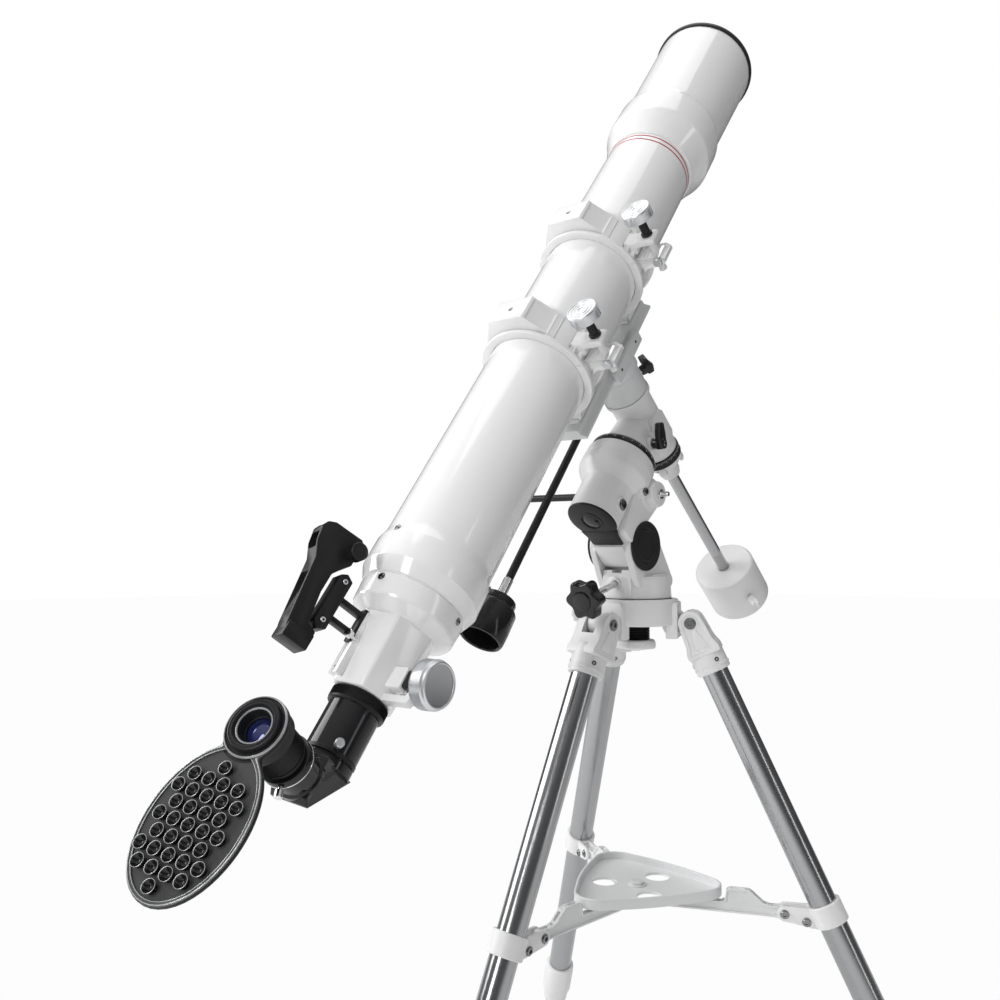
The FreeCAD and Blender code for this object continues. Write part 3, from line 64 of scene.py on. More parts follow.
CAD_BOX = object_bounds()
MM = 0.001
UPRIGHT = Matrix(((0, 0, 1, 0), (1, 0, 0, 0), (0, 1, 0, 0), (0, 0, 0, 1)))    # X, Y to Y, Z
TINY = 1e-4              # the smallest radius a lathed outline may have
JOINTS = {joint["name"]: joint for joint in frame["joints"]}
LEGS = ("front", "right", "back")
RINGS = ("front", "rear")
CAMERA_PLACE = (0.69880, -0.88607, 0.79862)
CAMERA_TURN = (92.37, 0.05, 41.43)      # degrees
CAMERA_LENS = 35.34


# ---------------------------------------------------------------- places
def place(origin, z_axis, x_axis):
    """A part's own frame: its origin in metres, its Z axis, and a direction its X axis lies nearest."""
    z = Vector(z_axis).normalized()
    x = Vector(x_axis)
    x = (x - x.dot(z) * z).normalized()
    matrix = Matrix((x, z.cross(x), z)).transposed().to_4x4()
    matrix.translation = Vector(origin)
    return matrix


def axis_of(joint):
    return Vector(JOINTS[joint]["axis"])


def point_of(joint):
    return Vector(JOINTS[joint]["pos_m"])


def shift(x=0, y=0, z=0):
    return Matrix.Translation((x, y, z))


def spin(degrees, axis="Z"):
    return Matrix.Rotation(math.radians(degrees), 4, axis)


def in_mm(matrix):
    """The same frame, for a piece that is modelled in millimetres."""
    return matrix @ Matrix.Scale(MM, 4)


TUBE_WAY, DEC_WAY, POLAR_WAY = axis_of("tube_rotate"), axis_of("dec_turn"), axis_of("polar_turn")
TUBE = place(point_of("tube_rotate"), TUBE_WAY, axis_of("focus_wheel_spin"))
CROSS = place(point_of("dec_turn"), DEC_WAY, DEC_WAY.cross(-POLAR_WAY))
SADDLE = place(point_of("dec_turn"), DEC_WAY, axis_of("focus_wheel_spin"))
POLAR = place(point_of("polar_turn"), POLAR_WAY, axis_of("latitude_tilt"))
SPINDLE = place(point_of("polar_turn"), POLAR_WAY, POLAR_WAY.cross(DEC_WAY))
EYE_WAY = axis_of("holder_turn")
EYE = place(point_of("holder_turn") - EYE_WAY * 100 * MM, EYE_WAY, -TUBE_WAY)
FINDER_SIDE = axis_of("finder_knob_spin")
FINDER = place(point_of("tube_rotate"), TUBE_WAY, FINDER_SIDE.cross(TUBE_WAY))
HEAD = Matrix.Translation(point_of("azimuth_turn"))
CROSS_PLACE = (point_of("dec_turn") - point_of("polar_turn")).length / MM


def leg_place(name):
    """Origin at the leg's hinge pin, X outwards and Z up along the leg."""
    up = -axis_of("leg_extend_" + name)
    return place(point_of("leg_fold_" + name), up, axis_of("leg_fold_" + name).cross(up))


def ring_place(name):
    """Middle of a cradle ring on the tube's axis."""
    away = (point_of("ring_open_" + name) - point_of("tube_rotate")).dot(TUBE_WAY)
    return shift(*(TUBE_WAY * away)) @ TUBE


# ---------------------------------------------------------------- modelling helpers
def start():
    if bpy.context.object and bpy.context.object.mode != "OBJECT":
        bpy.ops.object.mode_set(mode="OBJECT")
    bpy.ops.object.select_all(action="DESELECT")


def only(obj):
    start()
    obj.select_set(True)
    bpy.context.view_layer.objects.active = obj
    return obj


def edit(obj, pick="SELECT"):
    only(obj)
    bpy.ops.object.mode_set(mode="EDIT")
    bpy.ops.mesh.select_mode(type="VERT")
    bpy.ops.mesh.select_all(action=pick)


def leave():
    bpy.ops.object.mode_set(mode="OBJECT")


def pick_faces(obj, test):
    """Select the faces whose centre and normal pass a test, in object mode, then go back to editing."""
    leave()
    for face in obj.data.polygons:
        face.select = test(face.center, face.normal)
    for edge in obj.data.edges:
        edge.select = False
    bpy.ops.object.mode_set(mode="EDIT")
    bpy.ops.mesh.select_mode(type="FACE")


def modify(obj, kind, **settings):
    only(obj)
    modifier = obj.modifiers.new(kind.title(), kind)
    for key, value in settings.items():
        setattr(modifier, key, value)
    bpy.ops.object.modifier_apply(modifier=modifier.name)
    return obj


def soften(obj, width=0.6, segments=2, angle=35):
    """Round the edges sharper than an angle."""
    return modify(obj, "BEVEL", width=width, segments=segments, limit_method="ANGLE",
                  angle_limit=math.radians(angle), harden_normals=False)


def carve(obj, *cutters):
    for cutter in cutters:
        modify(obj, "BOOLEAN", operation="DIFFERENCE", solver="EXACT", object=cutter)
        bpy.data.objects.remove(cutter, do_unlink=True)
    return obj


def unite(pieces):
    start()
    for piece in pieces:
        piece.select_set(True)
    bpy.context.view_layer.objects.active = pieces[0]
    if len(pieces) > 1:
        bpy.ops.object.join()
    return bpy.context.object


def moved(obj, matrix):
    """Move a piece, and keep its place in its mesh."""
    obj.matrix_world = matrix @ obj.matrix_world
    only(obj)
    bpy.ops.object.transform_apply(location=True, rotation=True, scale=True)
    return obj


def tidy_shell(obj, reach=0.002):
    edit(obj)
    bpy.ops.mesh.remove_doubles(threshold=reach)
    bpy.ops.mesh.normals_make_consistent(inside=False)
    leave()
    return obj


def lathe(outline, sides=96, material=None, turn=0.0):
    """A ring, extruded and scaled from corner to corner of a (radius, height) outline."""
    start()
    radius, height = max(outline[0][0], TINY), outline[0][1]
    bpy.ops.mesh.primitive_circle_add(vertices=sides, radius=radius, fill_type="NOTHING",
                                      location=(0, 0, height), rotation=(0, 0, math.radians(turn)))
    obj = bpy.context.object
    bpy.ops.object.transform_apply(location=True, rotation=True, scale=True)
    edit(obj)
    for next_radius, next_height in outline[1:]:
        next_radius = max(next_radius, TINY)
        bpy.ops.mesh.extrude_region_move(TRANSFORM_OT_translate={"value": (0, 0, next_height - height)})
        grow = next_radius / radius
        if grow != 1:
            bpy.ops.transform.resize(value=(grow, grow, 1), center_override=(0, 0, next_height))
        radius, height = next_radius, next_height
    leave()
    tidy_shell(obj)
    if material:
        paint(obj, material)
    return obj


def drill(radius, low, high, sides=24):
    """A plain round cutter."""
    return lathe([(0, low), (radius, low), (radius, high), (0, high)], sides)


def slab(outline, low, high, material=None):
    """A flat outline in X and Y, extruded from one height to another."""
    start()
    bpy.ops.mesh.primitive_circle_add(vertices=len(outline), radius=1, fill_type="NGON", location=(0, 0, 0))
    obj = bpy.context.object
    for vertex, (x, y) in zip(obj.data.vertices, outline):
        vertex.co = (x, y, low)
    edit(obj)
    bpy.ops.mesh.extrude_region_move(TRANSFORM_OT_translate={"value": (0, 0, high - low)})
    bpy.ops.mesh.select_all(action="SELECT")
    bpy.ops.mesh.normals_make_consistent(inside=False)
    leave()
    if material:
        paint(obj, material)
    return obj


def block(length, width, height, at=(0, 0, 0), soft=0.8, material=None):
    start()
    bpy.ops.mesh.primitive_cube_add(size=1, location=at, scale=(length, width, height))
    obj = bpy.context.object
    bpy.ops.object.transform_apply(location=True, rotation=True, scale=True)
    if soft:
        soften(obj, soft)
    if material:
        paint(obj, material)
    return obj


def peg(radius, low, high, soft=0.4, material=None, sides=40):
    """A short round bar with its edges eased."""
    return lathe([(0, low), (radius - soft, low), (radius, low + soft), (radius, high - soft),
                  (radius - soft, high), (0, high)], sides, material)


def knurl(obj, low, high, radius, step, edge, deep):
    """Sink every second strip of a round grip, between two heights and outside a radius."""
    edit(obj, "DESELECT")
    pick_faces(obj, lambda c, n: low < c.z < high and abs(n.z) < 0.3 and math.hypot(c.x, c.y) > radius
               and math.floor(math.degrees(math.atan2(c.y, c.x)) / step) % 2 == 0)
    bpy.ops.mesh.inset(thickness=edge, depth=-deep, use_individual=True)
    leave()
    return obj


def belt(circles, steps=12):
    """Outline of a belt round several circles, given anticlockwise as (x, y, radius)."""
    outline = []
    count = len(circles)
    ways = []
    for index in range(count):
        x0, y0, r0 = circles[index]
        x1, y1, r1 = circles[(index + 1) % count]
        ways.append(math.atan2(y1 - y0, x1 - x0) - math.acos((r0 - r1) / math.hypot(x1 - x0, y1 - y0)))
    for index, (x, y, radius) in enumerate(circles):
        begin, end = ways[index - 1], ways[index]
        while end < begin:
            end += 2 * math.pi
        for step in range(steps + 1):
            way = begin + (end - begin) * step / steps
            outline.append((x + radius * math.cos(way), y + radius * math.sin(way)))
    return outline


def copies(obj, matrices):
    """One copy of a piece at each place, joined; the piece itself is used up."""
    made = []
    for matrix in matrices:
        twin = obj.copy()
        twin.data = obj.data.copy()
        bpy.context.collection.objects.link(twin)
        made.append(moved(twin, matrix))
    bpy.data.objects.remove(obj, do_unlink=True)
    return unite(made)


def around(count, first=0.0, axis="Z"):
    return [spin(first + 360 / count * step, axis) for step in range(count)]


def paint(obj, material):
    obj.data.materials.clear()
    obj.data.materials.append(finish(material))
    return obj


def level(obj, floor):
    """Cut a placed piece off flat at the floor."""
    edit(obj)
    bpy.ops.mesh.bisect(plane_co=(0, 0, floor), plane_no=(0, 0, 1), use_fill=True, clear_inner=True)
    leave()


def settle(obj, name, where, body, replaced=(), smooth=32, floor=None):
    """Put a finished piece in its place on the object, in metres, and let it ride on its body."""
    moved(obj, in_mm(where))
    if floor is not None:
        level(obj, floor)
    only(obj)
    bpy.ops.object.shade_smooth_by_angle(angle=math.radians(smooth))
    obj.name = name
    obj.data.name = name
    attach(obj, body)
    if replaced:
        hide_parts(*replaced)
    return obj


def cap_screw(radius=3.0, high=3.0, washer=0.0, shank=2.0):
    """A socket-head screw standing on its seat, hexagon recess outwards."""
    head = lathe([(0, -shank), (radius * 0.8, -shank), (radius * 0.8, 0), (radius - 0.3, 0), (radius, 0.3),
                  (radius, high - 0.6), (radius - 0.6, high), (0, high)], 32, "bolt_steel")
    # The recess cutter is given the near-black socket colour, painted shade for the hexagon recess.
    socket = lathe([(0, high - 1.6), (radius * 0.62, high - 1.6), (radius * 0.62, high + 1), (0, high + 1)],
                   6, "socket")
    carve(head, socket)
    if washer:
        ring = lathe([(radius * 0.7, 0), (washer, 0), (washer, 0.7), (washer - 0.3, 1.0),
                      (radius * 0.7, 1.0)], 32, "bolt_steel")
        head = unite([head, ring])
    return head


# ---------------------------------------------------------------- materials
def new_material(name):
    material = bpy.data.materials.new(name)
    material.use_nodes = True
    return material, material.node_tree.nodes, material.node_tree.links


def skin_group():
    """Fine unevenness of a painted, moulded or cast surface: a colour, a roughness and a normal."""
    group = bpy.data.node_groups.get("surface_skin")
    if group:
        return group
    group = bpy.data.node_groups.new("surface_skin", "ShaderNodeTree")
    face = group.interface
    for name, kind, default in (("Base", "NodeSocketColor", (0.8, 0.8, 0.8, 1)),
                                ("Shade", "NodeSocketColor", (0.7, 0.7, 0.7, 1)),
                                ("Patch Scale", "NodeSocketFloat", 9.0),
                                ("Grain Scale", "NodeSocketFloat", 900.0),
                                ("Rough Low", "NodeSocketFloat", 0.2),
                                ("Rough High", "NodeSocketFloat", 0.3),
                                ("Grain Depth", "NodeSocketFloat", 0.1)):
        socket = face.new_socket(name=name, in_out="INPUT", socket_type=kind)
        socket.default_value = default
    for name, kind in (("Color", "NodeSocketColor"), ("Roughness", "NodeSocketFloat"),
                       ("Normal", "NodeSocketVector")):
        face.new_socket(name=name, in_out="OUTPUT", socket_type=kind)
    nodes, links = group.nodes, group.links
    inlet, outlet = nodes.new("NodeGroupInput"), nodes.new("NodeGroupOutput")
    where = nodes.new("ShaderNodeTexCoord")
    patch, grain = nodes.new("ShaderNodeTexNoise"), nodes.new("ShaderNodeTexNoise")
    patch.inputs["Detail"].default_value = 4
    grain.inputs["Detail"].default_value = 3
    mix = nodes.new("ShaderNodeMix")
    mix.data_type = "RGBA"
    rough = nodes.new("ShaderNodeMapRange")
    bump = nodes.new("ShaderNodeBump")
    bump.inputs["Distance"].default_value = 0.0002
    links.new(where.outputs["Object"], patch.inputs["Vector"])
    links.new(where.outputs["Object"], grain.inputs["Vector"])
    links.new(inlet.outputs["Patch Scale"], patch.inputs["Scale"])
    links.new(inlet.outputs["Grain Scale"], grain.inputs["Scale"])
    links.new(patch.outputs["Fac"], mix.inputs["Factor"])
    links.new(inlet.outputs["Base"], mix.inputs["A"])
    links.new(inlet.outputs["Shade"], mix.inputs["B"])
    links.new(mix.outputs["Result"], outlet.inputs["Color"])
    links.new(patch.outputs["Fac"], rough.inputs["Value"])
    rough.inputs["From Min"].default_value = 0.3
    rough.inputs["From Max"].default_value = 0.7
    links.new(inlet.outputs["Rough Low"], rough.inputs["To Min"])
    links.new(inlet.outputs["Rough High"], rough.inputs["To Max"])
    links.new(rough.outputs["Result"], outlet.inputs["Roughness"])
    links.new(grain.outputs["Fac"], bump.inputs["Height"])
    links.new(inlet.outputs["Grain Depth"], bump.inputs["Strength"])
    links.new(bump.outputs["Normal"], outlet.inputs["Normal"])
    return group


def skin_material(name, base, shade, rough, grain=(900, 0.1), patch=9, metallic=0.0, coat=0.0, specular=0.5):
    material, nodes, links = new_material(name)
    shader = nodes["Principled BSDF"]
    skin = nodes.new("ShaderNodeGroup")
    skin.node_tree = skin_group()
    skin.inputs["Base"].default_value = (*base, 1)
    skin.inputs["Shade"].default_value = (*shade, 1)
    skin.inputs["Patch Scale"].default_value = patch
    skin.inputs["Grain Scale"].default_value = grain[0]
    skin.inputs["Grain Depth"].default_value = grain[1]
    skin.inputs["Rough Low"].default_value = rough[0]
    skin.inputs["Rough High"].default_value = rough[1]
    links.new(skin.outputs["Color"], shader.inputs["Base Color"])
    links.new(skin.outputs["Roughness"], shader.inputs["Roughness"])
    links.new(skin.outputs["Normal"], shader.inputs["Normal"])
    shader.inputs["Metallic"].default_value = metallic
    shader.inputs["Coat Weight"].default_value = coat
    shader.inputs["Coat Roughness"].default_value = 0.06
    shader.inputs["Specular IOR Level"].default_value = specular
    return material


def grain_material(name, base, rough, way, stretch=40.0, depth=0.05, metallic=1.0):
    """Drawn metal: a fine grain that runs along one direction."""
    material, nodes, links = new_material(name)
    shader = nodes["Principled BSDF"]
    where = nodes.new("ShaderNodeTexCoord")
    turn_node, scale_node = nodes.new("ShaderNodeMapping"), nodes.new("ShaderNodeMapping")
    to_vertical = Vector(way).rotation_difference(Vector((0, 0, 1)))
    turn_node.inputs["Rotation"].default_value = to_vertical.to_euler()
    scale_node.inputs["Scale"].default_value = (stretch * 40, stretch * 40, stretch * 0.15)
    noise, colour = nodes.new("ShaderNodeTexNoise"), nodes.new("ShaderNodeMix")
    rough_map, bump = nodes.new("ShaderNodeMapRange"), nodes.new("ShaderNodeBump")
    noise.inputs["Scale"].default_value = 1.0
    noise.inputs["Detail"].default_value = 4
    colour.data_type = "RGBA"
    colour.inputs["A"].default_value = (*[c * 0.8 for c in base], 1)
    colour.inputs["B"].default_value = (*base, 1)
    rough_map.inputs["To Min"].default_value = rough[0]
    rough_map.inputs["To Max"].default_value = rough[1]
    bump.inputs["Strength"].default_value = depth
    bump.inputs["Distance"].default_value = 0.0001
    links.new(where.outputs["Object"], turn_node.inputs["Vector"])
    links.new(turn_node.outputs["Vector"], scale_node.inputs["Vector"])
    links.new(scale_node.outputs["Vector"], noise.inputs["Vector"])
    links.new(noise.outputs["Fac"], colour.inputs["Factor"])
    links.new(colour.outputs["Result"], shader.inputs["Base Color"])
    links.new(noise.outputs["Fac"], rough_map.inputs["Value"])
    links.new(rough_map.outputs["Result"], shader.inputs["Roughness"])
    links.new(noise.outputs["Fac"], bump.inputs["Height"])
    links.new(bump.outputs["Normal"], shader.inputs["Normal"])
    shader.inputs["Metallic"].default_value = metallic
    return material


def lens_material(name, tint, coating):
    material, nodes, _ = new_material(name)
    shader = nodes["Principled BSDF"]
    shader.inputs["Base Color"].default_value = (*tint, 1)
    shader.inputs["Roughness"].default_value = 0.02
    shader.inputs["Transmission Weight"].default_value = 1.0
    shader.inputs["IOR"].default_value = 1.52
    shader.inputs["Specular Tint"].default_value = (*coating, 1)
    shader.inputs["Coat Weight"].default_value = 0.6
    shader.inputs["Coat Tint"].default_value = (*coating, 1)
    return material


# name: (base colour, shade in its patches, (lowest roughness, highest), other details)
MATERIALS = {
    "tube_enamel": ((0.86, 0.86, 0.855), (0.82, 0.82, 0.82), (0.10, 0.16),
                    {"grain": (160, 0.02), "coat": 0.5}),
    "cast_enamel": ((0.80, 0.80, 0.795), (0.745, 0.745, 0.745), (0.30, 0.42),
                    {"grain": (1100, 0.12), "patch": 14}),
    "pale_enamel": ((0.70, 0.705, 0.71), (0.64, 0.645, 0.65), (0.28, 0.40),
                    {"grain": (1200, 0.12), "patch": 16}),
    "pale_plastic": ((0.74, 0.745, 0.745), (0.69, 0.695, 0.70), (0.36, 0.48),
                     {"grain": (1500, 0.10), "patch": 12}),
    "stripe_red": ((0.42, 0.008, 0.02), (0.38, 0.008, 0.02), (0.35, 0.45), {"specular": 0.2}),
    "black_gloss": ((0.010, 0.010, 0.011), (0.016, 0.016, 0.018), (0.08, 0.16),
                    {"grain": (300, 0.02), "coat": 0.12, "specular": 0.32}),
    "black_satin": ((0.014, 0.014, 0.015), (0.024, 0.024, 0.026), (0.30, 0.42),
                    {"grain": (1500, 0.10), "specular": 0.18}),
    "black_matt": ((0.010, 0.010, 0.011), (0.016, 0.016, 0.017), (0.62, 0.75),
                   {"grain": (1800, 0.2)}),
    "rubber": ((0.015, 0.015, 0.016), (0.025, 0.025, 0.026), (0.45, 0.6),
               {"grain": (1400, 0.25), "specular": 0.12}),
    "cup_rubber": ((0.008, 0.008, 0.009), (0.014, 0.014, 0.015), (0.10, 0.18),
                   {"grain": (500, 0.03), "coat": 0.2, "specular": 0.4}),
    "plate_grey": ((0.06, 0.061, 0.063), (0.05, 0.051, 0.053), (0.3, 0.42),
                   {"grain": (1200, 0.10)}),
    # Painted highlight: a pale grey laid on thin rims of the phone plate, its collar, the suction cups and
    # the eyepiece, for the light those rims catch.
    "rim_grey": ((0.42, 0.425, 0.43), (0.34, 0.345, 0.35), (0.2, 0.3), {"metallic": 0.3}),
    "chrome": ((0.72, 0.72, 0.73), (0.62, 0.62, 0.64), (0.06, 0.16),
               {"metallic": 1.0, "grain": (700, 0.03), "patch": 60}),
    "bolt_steel": ((0.30, 0.302, 0.31), (0.24, 0.242, 0.25), (0.14, 0.26),
                   {"metallic": 1.0, "grain": (700, 0.03), "patch": 60}),
    # Painted shade: near-black for screw recesses and for the holes on the saddle, which are dark only from
    # shade.
    "socket": ((0.03, 0.03, 0.03), (0.05, 0.05, 0.05), (0.4, 0.5), {"metallic": 0.6}),
    "silver": ((0.40, 0.405, 0.412), (0.34, 0.345, 0.352), (0.30, 0.42),
               {"metallic": 1.0, "grain": (900, 0.10), "patch": 40}),
    "wheel_face": ((0.50, 0.505, 0.515), (0.42, 0.425, 0.435), (0.30, 0.42),
                   {"metallic": 0.8, "grain": (1200, 0.08)}),
    "dial_white": ((0.75, 0.75, 0.74), (0.68, 0.68, 0.67), (0.4, 0.5), {}),
}


def finish(name):
    """The material of that name, made the first time it is asked for."""
    material = bpy.data.materials.get(name)
    if material:
        return material
    if name.startswith("leg_steel_"):
        leg = name[len("leg_steel_"):]
        return grain_material(name, (0.46, 0.465, 0.472), (0.14, 0.28), axis_of("leg_extend_" + leg))
    if name == "shaft_chrome":
        return grain_material(name, (0.52, 0.522, 0.53), (0.06, 0.14), DEC_WAY)
    if name == "lens":
        return lens_material(name, (0.97, 0.99, 0.98), (0.75, 1.0, 0.85))
    # The eye lens is drawn opaque dark blue: the dark is painted shade of the bore behind the glass, the blue
    # a painted reflection of its coating.
    if name == "eye_lens":
        return skin_material(name, (0.015, 0.02, 0.10), (0.02, 0.03, 0.16), (0.03, 0.05), coat=1.0,
                             metallic=0.35)
    base, shade, rough, details = MATERIALS[name]
    return skin_material(name, base, shade, rough, **details)


# ---------------------------------------------------------------- sizes a user would change
def length(name, default, text):
    return bpy.props.FloatProperty(name=name, description=text, default=default, unit="LENGTH", precision=4)


class TubeSizes(bpy.types.PropertyGroup):
    radius: length("Tube radius", 0.0575, "Outside radius of the main tube")
    shield_radius: length("Shield radius", 0.0725, "Radius of the dew shield's black rim")
    front: length("Tube front", 0.300, "Front end of the main tube, from the middle of the cradle")
    rear: length("Tube rear", 0.393, "Rear end of the main tube, from the middle of the cradle")
    wheel_radius: length("Wheel radius", 0.0225, "Radius of the focusing wheel")


class MountSizes(bpy.types.PropertyGroup):
    housing_radius: length("Housing radius", 0.033, "Radius of the polar housing's barrel")
    weight_radius: length("Weight radius", 0.0447, "Radius of the counterweight")
    knob_radius: length("Control knob radius", 0.026, "Radius of the slow-motion knobs")


class TripodSizes(bpy.types.PropertyGroup):
    leg_radius: length("Leg radius", 0.017, "Radius of the upper leg tubes")
    head_radius: length("Head radius", 0.0555, "Radius of the tripod's head")
    tray_reach: length("Tray reach", 0.106, "Distance from the tray's middle to its corners")


class StageColours(bpy.types.PropertyGroup):
    floor: bpy.props.FloatVectorProperty(name="Floor", description="Colour of the floor", subtype="COLOR",
                                         size=3, default=(0.86, 0.86, 0.86), min=0, max=1)
    light: bpy.props.FloatProperty(name="Light", description="Strength of the studio lights, as a share",
                                   default=1.0, min=0.0, max=4.0)


def tube_sizes():
    return bpy.context.scene.telescope_tube


def mount_sizes():
    return bpy.context.scene.telescope_mount


def tripod_sizes():
    return bpy.context.scene.telescope_tripod


class MakePiece:
    """What every operator of this add-on shares."""
    bl_options = {"REGISTER", "UNDO"}

    def execute(self, context):
        self.make()
        start()
        return {"FINISHED"}


# ---------------------------------------------------------------- optical tube
class TELESCOPE_OT_tube(MakePiece, bpy.types.Operator):
    """The white main tube with its pin stripes, the dew shield and the objective"""
    bl_idname = "telescope.tube"
    bl_label = "Tube and Dew Shield"

    def make(self):
        sizes = tube_sizes()
        radius, front, rear = sizes.radius / MM, sizes.front / MM, sizes.rear / MM
        wall = 1.5
        tube = lathe([(radius - wall, -rear), (radius, -rear), (radius, 0), (radius, front),
                      (radius - wall, front), (radius - wall, -rear)], 160, "tube_enamel")
        settle(tube, "tube_barrel", TUBE, "telescope", ["main_tube"])
        stripes = []
        for middle in (268.5, 276.5):
            stripes.append(lathe([(radius, middle - 1.1), (radius + 0.12, middle - 1.0),
                                  (radius + 0.12, middle + 1.0), (radius, middle + 1.1)], 160, "stripe_red"))
        settle(unite(stripes), "tube_stripes", TUBE, "telescope")

        rim = sizes.shield_radius / MM
        shell = lathe([(radius + 0.1, 281.5), (radius + 1.4, 281.5), (radius + 2.0, 282.2),
                       (radius + 2.4, 284), (62.8, 291), (69.2, 312), (71.4, 316.5), (72.6, 320),
                       (72.9, 323), (72.9, 362), (72.5, 365.5), (71.2, 368.5), (69.0, 371.5), (68.0, 375),
                       (67.9, 379), (rim - 2.3, 543.5), (rim - 3.6, 543.5), (64, 381), (64.8, 330),
                       (radius + 0.1, 303), (radius + 0.1, 281.5)], 160, "tube_enamel")
        band = lathe([(rim - 4.2, 542.5), (rim - 1.9, 542.5), (rim - 0.6, 543.2), (rim, 544.4), (rim, 549.6),
                      (rim - 0.6, 550.6), (rim - 1.4, 551), (rim - 4.2, 551), (rim - 4.6, 550.4),
                      (rim - 4.6, 543.2), (rim - 4.2, 542.5)], 160, "black_satin")
        lining = lathe([(rim - 4.8, 549), (64.4, 380), (64.4, 330), (60, 303), (60, 302), (64.0, 330.2),
                        (64.0, 380), (rim - 5.2, 549), (rim - 4.8, 549)], 160, "black_matt")
        settle(unite([shell, band, lining]), "dew_shield_shell", TUBE, "telescope",
               ["dew_shield"])

        cell = lathe([(48, 302), (62.5, 302), (62.5, 312), (61.5, 313), (58.5, 313), (58, 312.4),
                      (56.5, 312.4), (56, 313), (56, 318.5), (55.2, 319.5), (50.2, 319.5), (49.4, 318.9),
                      (49.2, 317.6), (51.2, 317.6), (51.2, 303.6), (48, 303.6), (48, 302)], 144,
                     "black_satin")
        screws = copies(cap_screw(1.8, 1.6), [spin(30 + 120 * k) @ shift(59.6, 0, 313) for k in range(3)])
        settle(unite([cell, screws]), "objective_cell", TUBE, "telescope", ["lens_cell"])
        profile = [(0, 302.2)]
        for step in range(1, 9):
            reach = 46 * step / 8
            profile.append((reach, 302.2 + 1.3 * (reach / 46) ** 2))
        profile += [(51, 303.5), (51, 317.5)]
        for step in range(8, -1, -1):
            reach = 49.4 * step / 8
            profile.append((reach, 317.5 + 3.4 * (1 - (reach / 49.4) ** 2)))
        settle(lathe(profile, 128, "lens"), "objective_glass", TUBE, "telescope",
               ["objective_lens"], 60)


class TELESCOPE_OT_rear_cell(MakePiece, bpy.types.Operator):
    """The two stepped bands behind the tube, with their screws"""
    bl_idname = "telescope.rear_cell"
    bl_label = "Rear Cell"

    def make(self):
        radius = tube_sizes().radius / MM
        cell = lathe([(30.5, -482.3), (38.2, -482.3), (42.0, -480.4), (51.4, -473.2), (52.4, -471.0),
                      (53.4, -455), (53.4, -451.4), (52.0, -450.4), (52.0, -449.2), (54.4, -448.6),
                      (60.4, -436.4), (61.0, -434.6), (61.0, -407), (60.4, -404.6), (58.0, -396.6),
                      (radius + 0.3, -394.6), (radius + 0.15, -392.2), (radius - 6, -391.5), (30.5, -400),
                      (30.5, -482.3)], 160, "tube_enamel")
        small = cap_screw(2.8, 1.8, 3.8, 3)
        seats = [(59.8, -403, w) for w in (94, 214, -36)] + [(53.4, -456, w) for w in (86, 206, -16)]
        screws = copies(small, [spin(-w) @ shift(r - 0.2, 0, s) @ spin(90, "Y") for r, s, w in seats])
        settle(unite([cell, screws]), "rear_cell_shell", TUBE, "telescope", ["rear_cell"],
               16)


